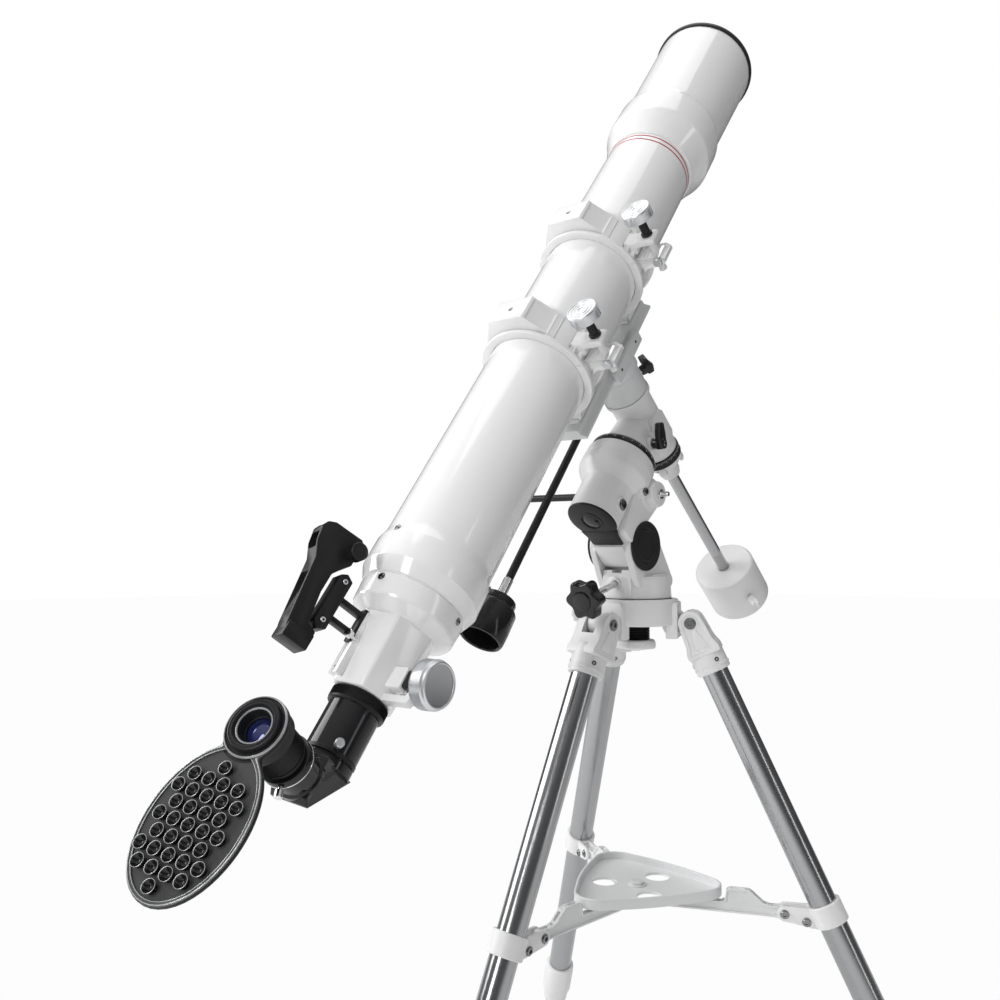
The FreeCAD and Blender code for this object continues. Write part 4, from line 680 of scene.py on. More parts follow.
class TELESCOPE_OT_focuser(MakePiece, bpy.types.Operator):
    """The faceted focuser, its wheel and shaft, and the drawtube with its gripping ring"""
    bl_idname = "telescope.focuser"
    bl_label = "Focuser"

    def make(self):
        casting = lathe([(0, -555), (33.4, -555), (34.6, -541), (39.8, -483.5), (39.8, -478), (0, -478)], 6,
                        "tube_enamel", -20)
        soften(casting, 2.4, 4, 40)
        carve(casting, drill(25.05, -570, -470, 96))

        rail = slab([(-7.5, -551), (7.5, -551), (7.5, -500), (6, -486), (-6, -486), (-7.5, -500)], 30, 38.0,
                    "tube_enamel")
        soften(rail, 0.9)
        groove = block(4.4, 60, 3, (0, -522, 38.6), 0.3)
        carve(rail, groove)
        shoe_way = spin(-108)
        moved(rail, shoe_way @ UPRIGHT)
        housing = block(20, 17, 22, (36, 0, -533), 2.0, "tube_enamel")
        cover = block(18, 13, 17, (54, 0, -533), 1.2, "black_satin")
        lock = unite([peg(4.2, 0, 7, 0.5, "chrome"), peg(2.0, -8, 1, 0.2, "chrome")])
        moved(lock, shift(49, 0, -547) @ spin(180, "X"))
        bracket = slab([(28, -4), (58, -4), (62, 2), (62, 8), (56, 8), (54, 3), (28, 3)], -5, 5,
                       "cast_enamel")
        soften(bracket, 0.6)
        moved(bracket, shift(0, 0, -552) @ spin(90, "X"))
        grip = lathe([(0, 0), (3.4, 0), (4.1, 0.6), (4.1, 5.6), (3.5, 6.2), (0, 6.2)], 18, "chrome")
        thumb = unite([grip, peg(1.8, -10, 0.5, 0.2, "chrome")])
        moved(thumb, spin(-100) @ shift(35, 0, -516) @ spin(18, "Z") @ spin(90, "Y") @ shift(0, 0, 9))
        studs = copies(peg(1.6, 0, 0.5, 0.2, "chrome"),
                       [shoe_way @ shift(37.6, 0, s) @ spin(90, "Y") for s in (-545, -492)])
        settle(unite([casting, rail, housing, cover, lock, bracket, thumb, studs]), "focuser_casting", TUBE,
               "telescope", ["focuser_body"])

        radius = tube_sizes().wheel_radius / MM
        wheel = lathe([(0, 0), (17, 0), (17.5, 0.6), (radius - 0.9, 0.6), (radius, 1.6), (radius, 13.6),
                       (radius - 0.8, 14.6), (radius - 1.3, 15.2), (radius - 1.5, 17.2),
                       (radius - 2.1, 18.0), (radius - 3.0, 18.2), (radius - 3.8, 17.6),
                       (radius - 4.0, 16.8)], 120, "silver")
        knurl(wheel, 1.8, 13.4, radius - 0.3, 3.0, 0.12, 0.55)
        face = lathe([(0, 16.0), (radius - 5.2, 16.0), (radius - 4.0, 16.4), (radius - 3.8, 16.0),
                      (radius - 4.0, 15), (0, 15)], 96, "wheel_face")
        hub = lathe([(0, -6), (6.2, -6), (6.8, -5.4), (6.8, -1), (9, 0), (0, 0)], 48, "black_satin")
        shaft = peg(3, -34, -5, 0.3, "chrome")
        knob = moved(unite([wheel, face, hub, shaft]), shift(65, 0, -533) @ spin(90, "Y"))
        settle(knob, "focus_wheel_knob", TUBE, "wheel", ["focus_wheel"], 28)

        barrel = lathe([(22.8, -614.5), (24.0, -614.5), (24.5, -614), (24.5, -568.5), (25, -568), (25, -460),
                        (23, -460), (23, -600), (22.8, -614.5)], 128, "black_gloss")
        edging = lathe([(22.4, -616.6), (24.2, -616.6), (24.9, -616.0), (24.9, -613.2), (24.4, -612.6),
                        (22.4, -612.6), (22.4, -616.6)], 128, "black_satin")
        grip = lathe([(0, 5), (3.6, 5), (4.2, 5.6), (4.2, 12.4), (3.6, 13), (2.4, 13), (2.2, 12.4),
                      (0, 12.4)], 24, "silver")
        screw = unite([grip, peg(2.2, -2, 5.5, 0.2, "chrome")])
        moved(screw, spin(-38) @ shift(23.6, 0, -609) @ spin(90, "Y"))
        settle(unite([barrel, edging, screw]), "drawtube_barrel", TUBE, "focus", ["drawtube"])
        ring = lathe([(24.6, -568.4), (26.6, -568.4), (27.4, -567.8), (27.4, -566.4), (27.9, -566.0),
                      (27.9, -557.2), (27.4, -556.8), (26.4, -555.6), (24.6, -555.6), (24.6, -568.4)], 120,
                     "black_satin")
        knurl(ring, -566, -557.2, 27.6, 3.0, 0.15, 0.7)
        settle(ring, "drawtube_grip", TUBE, "focus", ["drawtube_ring"], 28)


class TELESCOPE_OT_eye_end(MakePiece, bpy.types.Operator):
    """The star diagonal, its eyepiece holder and the eyepiece"""
    bl_idname = "telescope.eye_end"
    bl_label = "Diagonal and Eyepiece"

    def make(self):
        half = 19.0
        prism = slab([(-half - 3, -half - 2), (half + 3, half + 1), (half + 3, half + 5),
                      (half - 3, half + 10), (-half - 3, half + 10)], -half, half, "black_gloss")
        moved(prism, spin(90, "X"))
        soften(prism, 1.1, 3, 25)
        edit(prism, "DESELECT")
        pick_faces(prism, lambda c, n: abs(n.y) > 0.999 and abs(c.y) > half - 0.5)
        bpy.ops.mesh.inset(thickness=2.2, depth=-0.5, use_individual=True)
        leave()
        nose = lathe([(0, 0), (24.2, 0), (24.6, 0.6), (24.6, 7.5), (23.9, 8.4), (22.6, 8.6), (22.6, 30),
                      (21.4, 31), (19.8, 31), (19.8, 2), (0, 2)], 96, "black_gloss")
        moved(nose, shift(-half + 0.5, 0, 0) @ spin(-90, "Y"))
        holder = lathe([(15.7, half + 4), (21.2, half + 4), (22.0, half + 5), (22.0, half + 10),
                        (20.2, half + 12), (20.0, 46), (21.6, 47.4), (22.6, 48), (22.6, 56.4), (22.0, 57.4),
                        (20.8, 58), (15.7, 58), (15.7, half + 4)], 96, "black_gloss")
        edging = lathe([(22.5, 49.2), (22.8, 49.6), (22.8, 50.2), (22.5, 50.6)], 96, "chrome")
        screws = []
        for way in (250, 20):
            grip = lathe([(0, 4), (3.2, 4), (3.8, 4.6), (3.8, 10.4), (3.2, 11), (0, 11)], 20, "chrome")
            screw = unite([grip, peg(1.8, -2, 4.5, 0.2, "chrome")])
            screws.append(moved(screw, spin(way) @ shift(21.5, 0, 53) @ spin(90, "Y")))
        settle(unite([prism, nose, holder, edging, *screws]), "diagonal_casting", EYE, "diagonal",
               ["star_diagonal"])

        body = lathe([(11.6, 58.3), (11.6, 33), (14.1, 33), (15.6, 34), (15.6, 58.3), (18.4, 58.4),
                      (19.2, 59.2), (19.2, 62), (19.8, 62.6), (19.8, 64), (21.2, 65.4), (21.2, 88),
                      (20.4, 90), (20.4, 93), (22, 96), (22, 113.5), (21.5, 114.6), (20.6, 114.9),
                      (20.2, 114.3), (19.4, 114.3), (18.8, 114.9), (17.8, 114.9), (17.2, 113.8),
                      (16.6, 112.2), (16.0, 112.0), (15.6, 112.6), (14.6, 112.6), (14.2, 111.6), (12.6, 104),
                      (11.6, 103), (11.6, 58.3)], 120, "black_satin")
        knurl(body, 66, 87, 20.9, 3.0, 0.15, 0.6)
        # A pale grey ring on the eye cup's top edge: painted highlight.
        bright = lathe([(14.3, 112.2), (14.9, 112.9), (15.6, 112.8), (15.9, 112.1)], 96, "rim_grey")
        # Opaque dark blue eye lens: painted shade and painted coating reflection in place of clear glass.
        glass = lathe([(0, 98), (11.6, 100), (11.6, 101.5), (9, 103.2), (5, 104.2), (0, 104.6)], 64,
                      "eye_lens")
        # A black matt disc across the bore under the eye lens: painted shade for the dark depth of the
        # eyepiece.
        bore_shade_disc = lathe([(0, 92), (11.5, 92), (11.5, 92.4), (0, 92.4)], 48, "black_matt")
        settle(unite([body, bright, glass, bore_shade_disc]), "eyepiece_barrel", EYE, "ocular",
               ["eyepiece"], 28)


class TELESCOPE_OT_phone_holder(MakePiece, bpy.types.Operator):
    """The oval telephone plate with its rim, clamp and rows of suction cups"""
    bl_idname = "telescope.phone_holder"
    bl_label = "Telephone Holder"

    def make(self):
        low, middle, long, wide, round_eye = 105.0, 80.5, 63.5, 46.5, 27.0
        steps, hub, soft = 120, 24.0, 5.0
        leaning = EYE @ spin(-2.5)

        def outline(inset):
            """An oval that runs into the eyepiece's collar with a soft waist between them."""
            points = []
            for step in range(steps):
                way = 2 * math.pi * step / steps
                c, s = math.cos(way), math.sin(way)
                a, b = long - inset, wide - inset
                lean = (hub - middle) * c / a ** 2
                quad = c * c / a ** 2 + s * s / b ** 2
                far = (-lean + math.sqrt(max(lean ** 2 - quad * (((hub - middle) / a) ** 2 - 1), 0))) / quad
                near = -hub * c + math.sqrt(max((round_eye - inset) ** 2 - (hub * s) ** 2, 0))
                reach = max(far, near) + soft * math.log1p(math.exp(-abs(far - near) / soft))
                points.append((hub + reach * c, reach * s))
            return points

        def hoop(outer, inner, bottom, top, material):
            return carve(slab(outline(outer), bottom, top, material),
                         slab(outline(inner), bottom - 5, top + 5))

        plate = soften(slab(outline(0), low, low + 3.2, "black_satin"), 0.7, 3, 40)
        wall = soften(hoop(0.4, 4.6, low + 3.0, low + 4.6, "plate_grey"), 0.4, 2, 40)
        # The two thin pale grey rings on the plate's rim are painted highlights.
        rim = soften(hoop(1.0, 2.0, low + 4.3, low + 5.2, "rim_grey"), 0.25, 2, 40)
        second = soften(hoop(3.6, 4.3, low + 4.3, low + 4.9, "rim_grey"), 0.2, 2, 40)
        for piece, reach in ((plate, 22.05), (wall, 26.0), (rim, 27.6), (second, 27.6)):
            carve(piece, drill(reach, low - 5, low + 12, 96))
        collar = lathe([(22.05, low - 2), (25.6, low - 2), (26.8, low - 1), (26.8, low + 4.4),
                        (26.0, low + 5.6), (25.4, low + 6.2), (24.8, low + 6.2), (24.4, low + 5.4),
                        (22.05, low + 5.0), (22.05, low - 2)], 96, "black_satin")
        # A pale grey ring on the collar's top edge: painted highlight.
        edge = lathe([(25.2, low + 6.1), (25.6, low + 6.5), (26.3, low + 6.1), (26.9, low + 5.0),
                      (26.4, low + 4.8)], 96, "rim_grey")
        skirt = lathe([(22.05, 92), (24.6, 92), (25.2, 92.8), (25.2, low), (22.05, low), (22.05, 92)], 96,
                      "black_satin")
        slit_way = spin(222)
        carve(skirt, block(12, 3.2, 18, (23, 0, 98), 0))
        moved(skirt, slit_way)
        clamp = [moved(block(5, 4, 9, (26.5, side * 4.4, 97), 0.8, "black_satin"), slit_way)
                 for side in (-1, 1)]
        screw = moved(unite([peg(3.4, 8, 14, 0.6, "chrome"), peg(1.6, -10, 9, 0.2, "chrome")]),
                      slit_way @ shift(27, 0, 97) @ spin(-90, "X"))
        settle(unite([plate, wall, rim, second, collar, edge, skirt, *clamp, screw]), "phone_plate_shell",
               leaning, "holder", ["phone_plate"])

        bed = slab(outline(4.2), low + 3.0, low + 3.6, "rubber")
        carve(bed, drill(29.5, low, low + 12, 96))
        cup = lathe([(0, 0), (4.2, 0), (3.8, 1.0), (4.2, 2.4), (5.5, 5.6), (5.4, 5.9), (5.0, 5.8),
                     (3.4, 3.2), (1.6, 1.6), (0, 1.2)], 32, "cup_rubber")
        # Each cup's pale grey lip is a painted highlight on its rim.
        lip = lathe([(5.05, 5.75), (5.3, 6.15), (5.6, 6.05), (5.55, 5.6)], 32, "rim_grey")
        cup = unite([cup, lip])
        pitch = 15.5
        spots = []
        for row in range(-5, 6):
            for line in range(-3, 4):
                x = 85 + row * pitch * 0.76
                y = (line + 0.5 * (row % 2)) * pitch * 0.95
                if math.hypot((x - 84) / 1.45, y) < 34.0:
                    spots.append(shift(x, y, low + 3.5))
        settle(unite([bed, copies(cup, spots)]), "phone_cups", leaning, "holder",
               ["suction_cups"], 40)


class TELESCOPE_OT_finder(MakePiece, bpy.types.Operator):
    """The red-dot finder on its stalk"""
    bl_idname = "telescope.finder"
    bl_label = "Finder"

    def make(self):
        to_side = spin(90, "X")
        head = slab([(76, -437), (80, -434), (110, -436), (117, -440), (120, -447), (117, -462), (110, -476),
                     (101, -540), (98, -552), (74, -552), (72, -548), (73, -534), (83, -530), (88, -500),
                     (88, -480), (82, -470), (76, -462)], -10, 10, "black_satin")
        moved(head, to_side @ Matrix.Scale(-1, 4, (0, 0, 1)))
        tidy_shell(head)
        soften(head, 1.2, 2, 25)
        window = block(16, 16, 40, (111, 0, -447), 2.0)
        trough = block(16, 15, 60, (110, 0, -520), 1.0)
        carve(head, window, trough)
        pane = block(13, 15.5, 1.0, (110, 0, -452), 0.1, "lens")
        rear = block(27, 24, 16, (86, 0, -546), 1.4, "black_satin")
        settle(unite([head, pane, rear]), "finder_body", FINDER, "telescope",
               ["finder_sight"])

        rail = slab([(66, -474), (74, -470), (80, -474), (80, -524), (74, -530), (66, -526)], -9, 9,
                    "black_satin")
        moved(rail, to_side @ Matrix.Scale(-1, 4, (0, 0, 1)))
        tidy_shell(rail)
        soften(rail, 1.0, 2, 25)
        arms = [block(30, 10, 5, (52, 0, back), 0.7, "black_satin") for back in (-492, -512)]
        foot = block(4, 11, 34, (39, 0, -502), 0.6, "black_satin")
        screws = copies(cap_screw(1.9, 1.0, 2.6, 2),
                        [shift(73, 9, s) @ spin(-90, "X") for s in (-478, -520)])
        settle(unite([rail, *arms, foot, screws]), "finder_stalk", FINDER, "telescope",
               ["finder_bracket"])

        knob = lathe([(0, 0), (3, 0), (3, 2), (8, 2), (8.6, 2.6), (8.6, 12.4), (8.0, 13), (7, 13),
                      (6.4, 12.4), (0, 12.4)], 40, "black_satin")
        knurl(knob, 3, 12, 8.3, 9.0, 0.2, 0.6)
        centre = place(point_of("finder_knob_spin"), FINDER_SIDE, TUBE_WAY)
        settle(knob, "finder_dial_knob", centre @ shift(0, 0, -5 * MM), "finder_dial",
               ["finder_knob"])


# ---------------------------------------------------------------- cradle
class TELESCOPE_OT_cradle(MakePiece, bpy.types.Operator):
    """The two cradle rings with platforms, hinges and clamps, and the dovetail bar"""
    bl_idname = "telescope.cradle"
    bl_label = "Cradle Rings and Bar"
    split = 8.0
    half = 24.0

    def band(self):
        half = self.half
        return lathe([(57.9, -half), (66.2, -half), (66.9, -half + 0.7), (66.9, -half + 4),
                      (65.9, -half + 5.4), (63.8, -half + 6.2), (63.8, half - 6.2), (65.9, half - 5.4),
                      (66.9, half - 4), (66.9, half - 0.7), (66.2, half), (57.9, half), (57.9, -half)], 144,
                     "cast_enamel")

    def keep(self, obj, above):
        """Cut the ring at its split line and keep the half on one side."""
        edit(obj)
        gap = 0.25 if above else -0.25
        bpy.ops.mesh.bisect(plane_co=(0, -self.split - gap, 0), plane_no=(0, 1, 0), use_fill=True,
                            clear_outer=above, clear_inner=not above)
        leave()
        return obj

    def hollow_sides(self, obj, rim, deep):
        """Sink the flat end faces of a casting, leaving a raised edge."""
        edit(obj, "DESELECT")
        pick_faces(obj, lambda c, n: abs(n.z) > 0.99)
        bpy.ops.mesh.inset(thickness=rim, depth=-deep, use_individual=True)
        leave()
        return obj

    def on_slot(self, c, n):
        """Whether a face lies on one of the short slots round the upper half."""
        way = math.degrees(math.atan2(-c.y, abs(c.x)))
        outward = n.x * c.x + n.y * c.y > 0 and abs(n.z) < 0.1
        return 62 < math.hypot(c.x, c.y) < 64.2 and outward and min(abs(way - at) for at in (26, 45)) < 1.4

    def make(self):
        for name in RINGS:
            where = ring_place(name)
            upper = soften(self.keep(self.band(), True), 0.5, 2, 40)
            deck = slab([(-22, -80.5), (22, -80.5), (24, -78), (42, -52), (38, -49), (-38, -49), (-42, -52),
                         (-24, -78)], -17, 17, "cast_enamel")
            edit(deck, "DESELECT")
            pick_faces(deck, lambda c, n: 0.5 < abs(n.x) < 0.95 and abs(c.x) > 28)
            bpy.ops.mesh.inset(thickness=2.6, depth=-1.8, use_individual=True)
            leave()
            soften(deck, 0.8, 2, 30)
            carve(deck, drill(58.2, -60, 60, 144))
            edit(upper, "DESELECT")
            pick_faces(upper, self.on_slot)
            bpy.ops.mesh.inset(thickness=0.3, depth=-1.6, use_individual=True)
            leave()
            carve(deck, moved(drill(3, -20, 0), shift(0, -65, 0) @ spin(90, "X") @ shift(0, 0, 20)))
            rib = slab([(46, -46), (62, -24), (66, -14), (60, -14), (50, -30), (38, -52)], -20, 20,
                       "cast_enamel")
            self.hollow_sides(rib, 2.0, 3.0)
            soften(rib, 0.8, 2, 30)
            ear = slab([(56, -10.5), (68, -10.5), (69.5, -19), (91, -19), (94, -22), (94, -24), (91, -26.5),
                        (62, -26.5), (54, -30)], -11, 11, "cast_enamel")
            soften(ear, 1.0)
            carve(ear, moved(drill(3.6, 0, 40), shift(84, -3, 0) @ spin(90, "X")))
            knuckles = copies(peg(6, -4, 4, 0.5, "cast_enamel"), [shift(-69, -8, z) for z in (11.5, -11.5)])
            straps = [block(10, 5, 8, (-63, -12, z), 0.8, "cast_enamel") for z in (11.5, -11.5)]
            settle(unite([upper, deck, rib, ear, knuckles, *straps]), "ring_top_" + name, where,
                   "ring_top_" + name, ["ring_upper_" + name])

            lower = soften(self.keep(self.band(), False), 0.5, 2, 40)
            foot = slab([(-19, 77.2), (19, 77.2), (21, 74), (33, 54), (-33, 54), (-21, 74)][::-1],
                        -self.half + 1, self.half - 1, "cast_enamel")
            self.hollow_sides(foot, 2.6, 4.0)
            soften(foot, 0.9, 2, 30)
            ear = slab([(56, 14), (54, -7.2), (66, -7.2), (72, -3.5), (94, -3.5), (99, 1), (99, 6), (94, 10),
                        (72, 10), (64, 16)][::-1], -14, 14, "cast_enamel")
            self.hollow_sides(ear, 2.2, 3.0)
            soften(ear, 0.9, 2, 30)
            carve(ear, moved(drill(4.6, -20, 20), shift(84, 3, 0) @ spin(90, "X")))
            nut = moved(peg(5, -17, 17, 0.6, "silver"), shift(89, 3, 0))
            hinge = [peg(6, -6.6, 6.6, 0.5, "cast_enamel"), block(11, 6, 13, (6, 4, 0), 0.8, "cast_enamel"),
                     peg(2, -16.5, 16.5, 0.4, "chrome")]
            hinge = moved(unite(hinge), shift(-69, -8, 0))
            settle(unite([lower, foot, ear, nut, hinge]), "ring_base_" + name, where, "cradle",
                   ["ring_lower_" + name])

            shank = peg(2.9, -6, 30, 0.3, "chrome")
            sleeve = lathe([(0, 27.4), (6.4, 27.4), (6.8, 27.8), (6.8, 30.4), (5.2, 31.2), (5.0, 45.5),
                            (6.2, 46.5), (6.2, 48), (0, 48)], 40, "black_satin")
            neck = lathe([(0, 46.5), (7.5, 46.5), (8.2, 47.2), (8.2, 49), (15.8, 50), (17.6, 51), (18, 52),
                          (18, 62), (17.4, 63.2), (16.8, 63.8), (15.6, 63.8), (15.2, 63.2), (12.6, 63.2),
                          (12.2, 63.7), (11.6, 63.7), (11.2, 63.2), (8.6, 63.2), (8.2, 63.7), (7.6, 63.7),
                          (7.2, 63.2), (4.2, 63.2), (3.8, 62.6), (0, 62.6)], 96, "silver")
            edit(neck, "DESELECT")
            pick_faces(neck, lambda c, n: 52.2 < c.z < 61.8 and math.hypot(c.x, c.y) > 17.7
                       and int(round(math.degrees(math.atan2(c.y, c.x)) / 3.75 + 200)) % 2 == 0)
            bpy.ops.mesh.inset(thickness=0.12, depth=-0.4, use_individual=True)
            leave()
            knob = unite([shank, sleeve, neck])
            moved(knob, shift(84, 0, 0) @ spin(90, "X"))
            settle(knob, "ring_knob_" + name, where, "ring_knob_" + name, ["ring_clamp_" + name],
                   28)

        bar = slab([(-27, 106.4), (27, 106.4), (28, 107.4), (28, 110), (24, 112.4), (21, 114), (21, 119.4),
                    (20.2, 120.2), (-20.2, 120.2), (-21, 119.4), (-21, 114), (-24, 112.4), (-28, 110),
                    (-28, 107.4)], -98, 140, "pale_enamel")
        moved(bar, spin(90, "X"))
        soften(bar, 0.4, 2, 40)
        for spot in (88, 78, -118, -130):
            carve(bar, moved(drill(2.2, 100, 130), shift(0, spot, 0)))
        bolts = copies(cap_screw(3.2, 2.6, 0, 1), [shift(0, y, 106.4) @ spin(180, "X") for y in (78, -105)])
        settle(unite([bar, bolts]), "dovetail_rail", SADDLE, "cradle", ["dovetail_bar"])


# ---------------------------------------------------------------- declination axis
class TELESCOPE_OT_declination(MakePiece, bpy.types.Operator):
    """The declination barrel, saddle, setting circle, levers, shaft and counterweight"""
    bl_idname = "telescope.declination"
    bl_label = "Declination Axis"

    def wing(self, name, where, body, node):
        """A black wing lever with its bright screw."""
        blade = slab([(-7, -6.5), (-3, -8.2), (10, -7.6), (25, -5.6), (27, -3), (27, 3), (25, 5.6),
                      (10, 7.6), (-3, 8.2), (-7, 6.5)], 7, 15.5, "black_gloss")
        soften(blade, 1.8, 3, 30)
        hub = lathe([(0, 0.3), (5.6, 0.3), (6.4, 1.0), (7.2, 8), (7.2, 14.8), (6.2, 16.4), (0, 16.4)], 40,
                    "black_gloss")
        screw = moved(cap_screw(3.2, 1.6), shift(0, 0, 16.2))
        stem = peg(3.4, -8, 1, 0.3, "chrome")
        settle(unite([blade, hub, screw, stem]), name, where, body, [node])

    def make(self):
        neck = lathe([(0, -37.6), (37.6, -37.6), (38.6, -36.8), (38.6, -34.6), (37.6, -33.6), (33.4, -27),
                      (31, -20), (29.4, -10), (28.2, 4), (28, 26), (0, 26)], 120, "cast_enamel")
        shaft = peg(16, -142, -37, 0.5, "chrome")
        boss = moved(lathe([(0, 10), (8.8, 10), (8.6, 34.6), (7.8, 35.7), (0, 35.7)], 40, "cast_enamel"),
                     shift(0, 0, -18) @ spin(90, "Y"))
        barrel = lathe([(8.3, -103), (12.4, -103), (13.2, -102.3), (13.4, -97), (15.0, -96), (15.2, -83.5),
                        (16.4, -82), (20.6, -81), (21.4, -80), (26.6, -69.6), (27.2, -68.6), (26.8, -68.2),
                        (23, -68.2), (23, -54), (27.2, -54), (27.4, -53.4), (27.2, -40), (27.2, 36),
                        (28.6, 41), (30.4, 44), (30.8, 45), (30.8, 49.3), (30.2, 50.1), (0, 50.1), (0, -90),
                        (8.3, -90), (8.3, -103)], 128, "cast_enamel")
        rib = slab([(-44, -20), (-40, -27), (6, -27), (14, -18), (14, 6), (6, 12), (-30, 12), (-44, 0)], 20,
                   29.8, "cast_enamel")
        soften(rib, 1.4, 2)
        swapped = Matrix(((0, 0, 1, 0), (0, 1, 0, 0), (1, 0, 0, 0), (0, 0, 0, 1)))     # X and Z change places
        moved(rib, swapped)
        tidy_shell(rib)
        lugs = copies(block(5, 10, 14, (24.5, 0, -75), 1.2, "cast_enamel"), around(4, 20))
        grub = copies(cap_screw(1.8, 0.8),
                      [spin(w) @ shift(24.2, 0, -73) @ spin(60, "Y") for w in (35, 155, 275)])
        dec_parts = moved(unite([barrel, rib, lugs, grub]), shift(0, 0, CROSS_PLACE) @ spin(90, "X"))
        settle(unite([neck, shaft, boss, dec_parts]), "dec_casting", SPINDLE, "declination",
               ["dec_housing"])

        self.wing("polar_lever_wing", SPINDLE @ shift(36 * MM, 0, -18 * MM) @ spin(90, "Y") @ spin(232),
                  "polar_lever", "polar_lock_lever")
        boss_way = spin(41)
        lever_place = SADDLE @ boss_way @ shift(30 * MM, 0, 67 * MM) @ spin(90, "Y") @ spin(90)
        self.wing("dec_lever_wing", lever_place, "dec_lever", "dec_lock_lever")

        circle = lathe([(23.3, -67.9), (27.8, -67.9), (28.6, -67.2), (28.8, -54.9), (28.2, -54.3),
                        (23.3, -54.3), (23.3, -67.9)], 120, "black_satin")
        ticks = [copies(block(0.5, 0.45, 4.2, (28.75, 0, -58.2), 0, "dial_white"), around(24)),
                 copies(block(0.5, 0.45, 2.4, (28.75, 0, -57.3), 0, "dial_white"), around(72))]
        settle(unite([circle, *ticks]), "dec_dial_ring", CROSS, "dec_dial", ["dec_circle"])

        shaft = lathe([(0, -398), (7.4, -398), (8.1, -397.2), (8.1, -86), (0, -86)], 64, "shaft_chrome")
        stop = lathe([(0, -404), (11, -404), (12, -403), (12, -399), (11.2, -398), (0, -398)], 48, "chrome")
        settle(unite([shaft, stop]), "weight_shaft", CROSS, "declination", ["counterweight_shaft"])

        radius = mount_sizes().weight_radius / MM
        weight = lathe([(8.4, -384.8), (radius - 3.2, -384.8), (radius - 2.2, -384.2),
                        (radius - 0.5, -382.2), (radius, -380.8), (radius, -312.6), (radius - 0.5, -311.2),
                        (radius - 2.2, -309.2), (radius - 3.2, -308.6), (10.4, -308.6), (9.6, -309.2),
                        (8.4, -309.6), (8.4, -384.8)], 128, "cast_enamel")
        screw_way, screw_height = spin(-35), -346.7
        carve(weight, moved(drill(3.55, 0, 60, 32), screw_way @ shift(6, 0, screw_height) @ spin(90, "Y")))
        settle(weight, "weight_body", CROSS, "weight", ["counterweight"])
        screw = [peg(3.4, 0, 44, 0.3, "chrome"),
                 lathe([(0, 40), (5.6, 40), (6.2, 40.8), (6.6, 48), (6.6, 54), (5.8, 55), (0, 55)], 32,
                       "cast_enamel"),
                 block(14, 4.4, 17, (0, 0, 52.5), 1.6, "cast_enamel")]
        screw_place = CROSS @ screw_way @ shift(8.5 * MM, 0, screw_height * MM) @ spin(90, "Y")
        settle(unite(screw), "weight_thumb_screw", screw_place, "weight_screw",
               ["counterweight_screw"])

        head = lathe([(0, 34), (16.9, 34), (16.9, 50.5), (28.6, 50.5), (29.6, 51.4), (29.8, 84),
                      (29.2, 84.5), (29.2, 85.2), (31.6, 85.8), (32.2, 86.8), (32.2, 99), (31.6, 100),
                      (0, 100)], 128, "pale_enamel")
        seat = block(66, 84, 17, (0, 0, 108.5), 1.8, "pale_enamel")
        carve(seat, block(56.8, 120, 24, (0, 0, 118.2), 0))
        case = lathe([(0, -44), (9.4, -44), (10.6, -43), (11, -41), (11, 26), (10.4, 28), (9, 29), (0, 29)],
                     64, "cast_enamel")
        moved(case, shift(-30, 0, 63) @ spin(-90, "X"))
        web = block(18, 34, 20, (-24, -4, 62), 3, "pale_enamel")
        boss = moved(lathe([(0, 18), (8.4, 18), (8.2, 28.8), (7.6, 29.6), (0, 29.6)], 40, "pale_enamel"),
                     boss_way @ shift(0, 0, 67) @ spin(90, "Y"))
        # Two near-black discs on the saddle's sides: painted shade standing in for holes.
        hole_shade_discs = copies(peg(2.0, -0.6, 0.25, 0.2, "socket"),
                        [shift(33, y, 110) @ spin(90, "Y") for y in (-26, 26)])
        settle(unite([head, seat, case, web, boss, hole_shade_discs]), "saddle_head", SADDLE, "saddle",
               ["dec_saddle"])


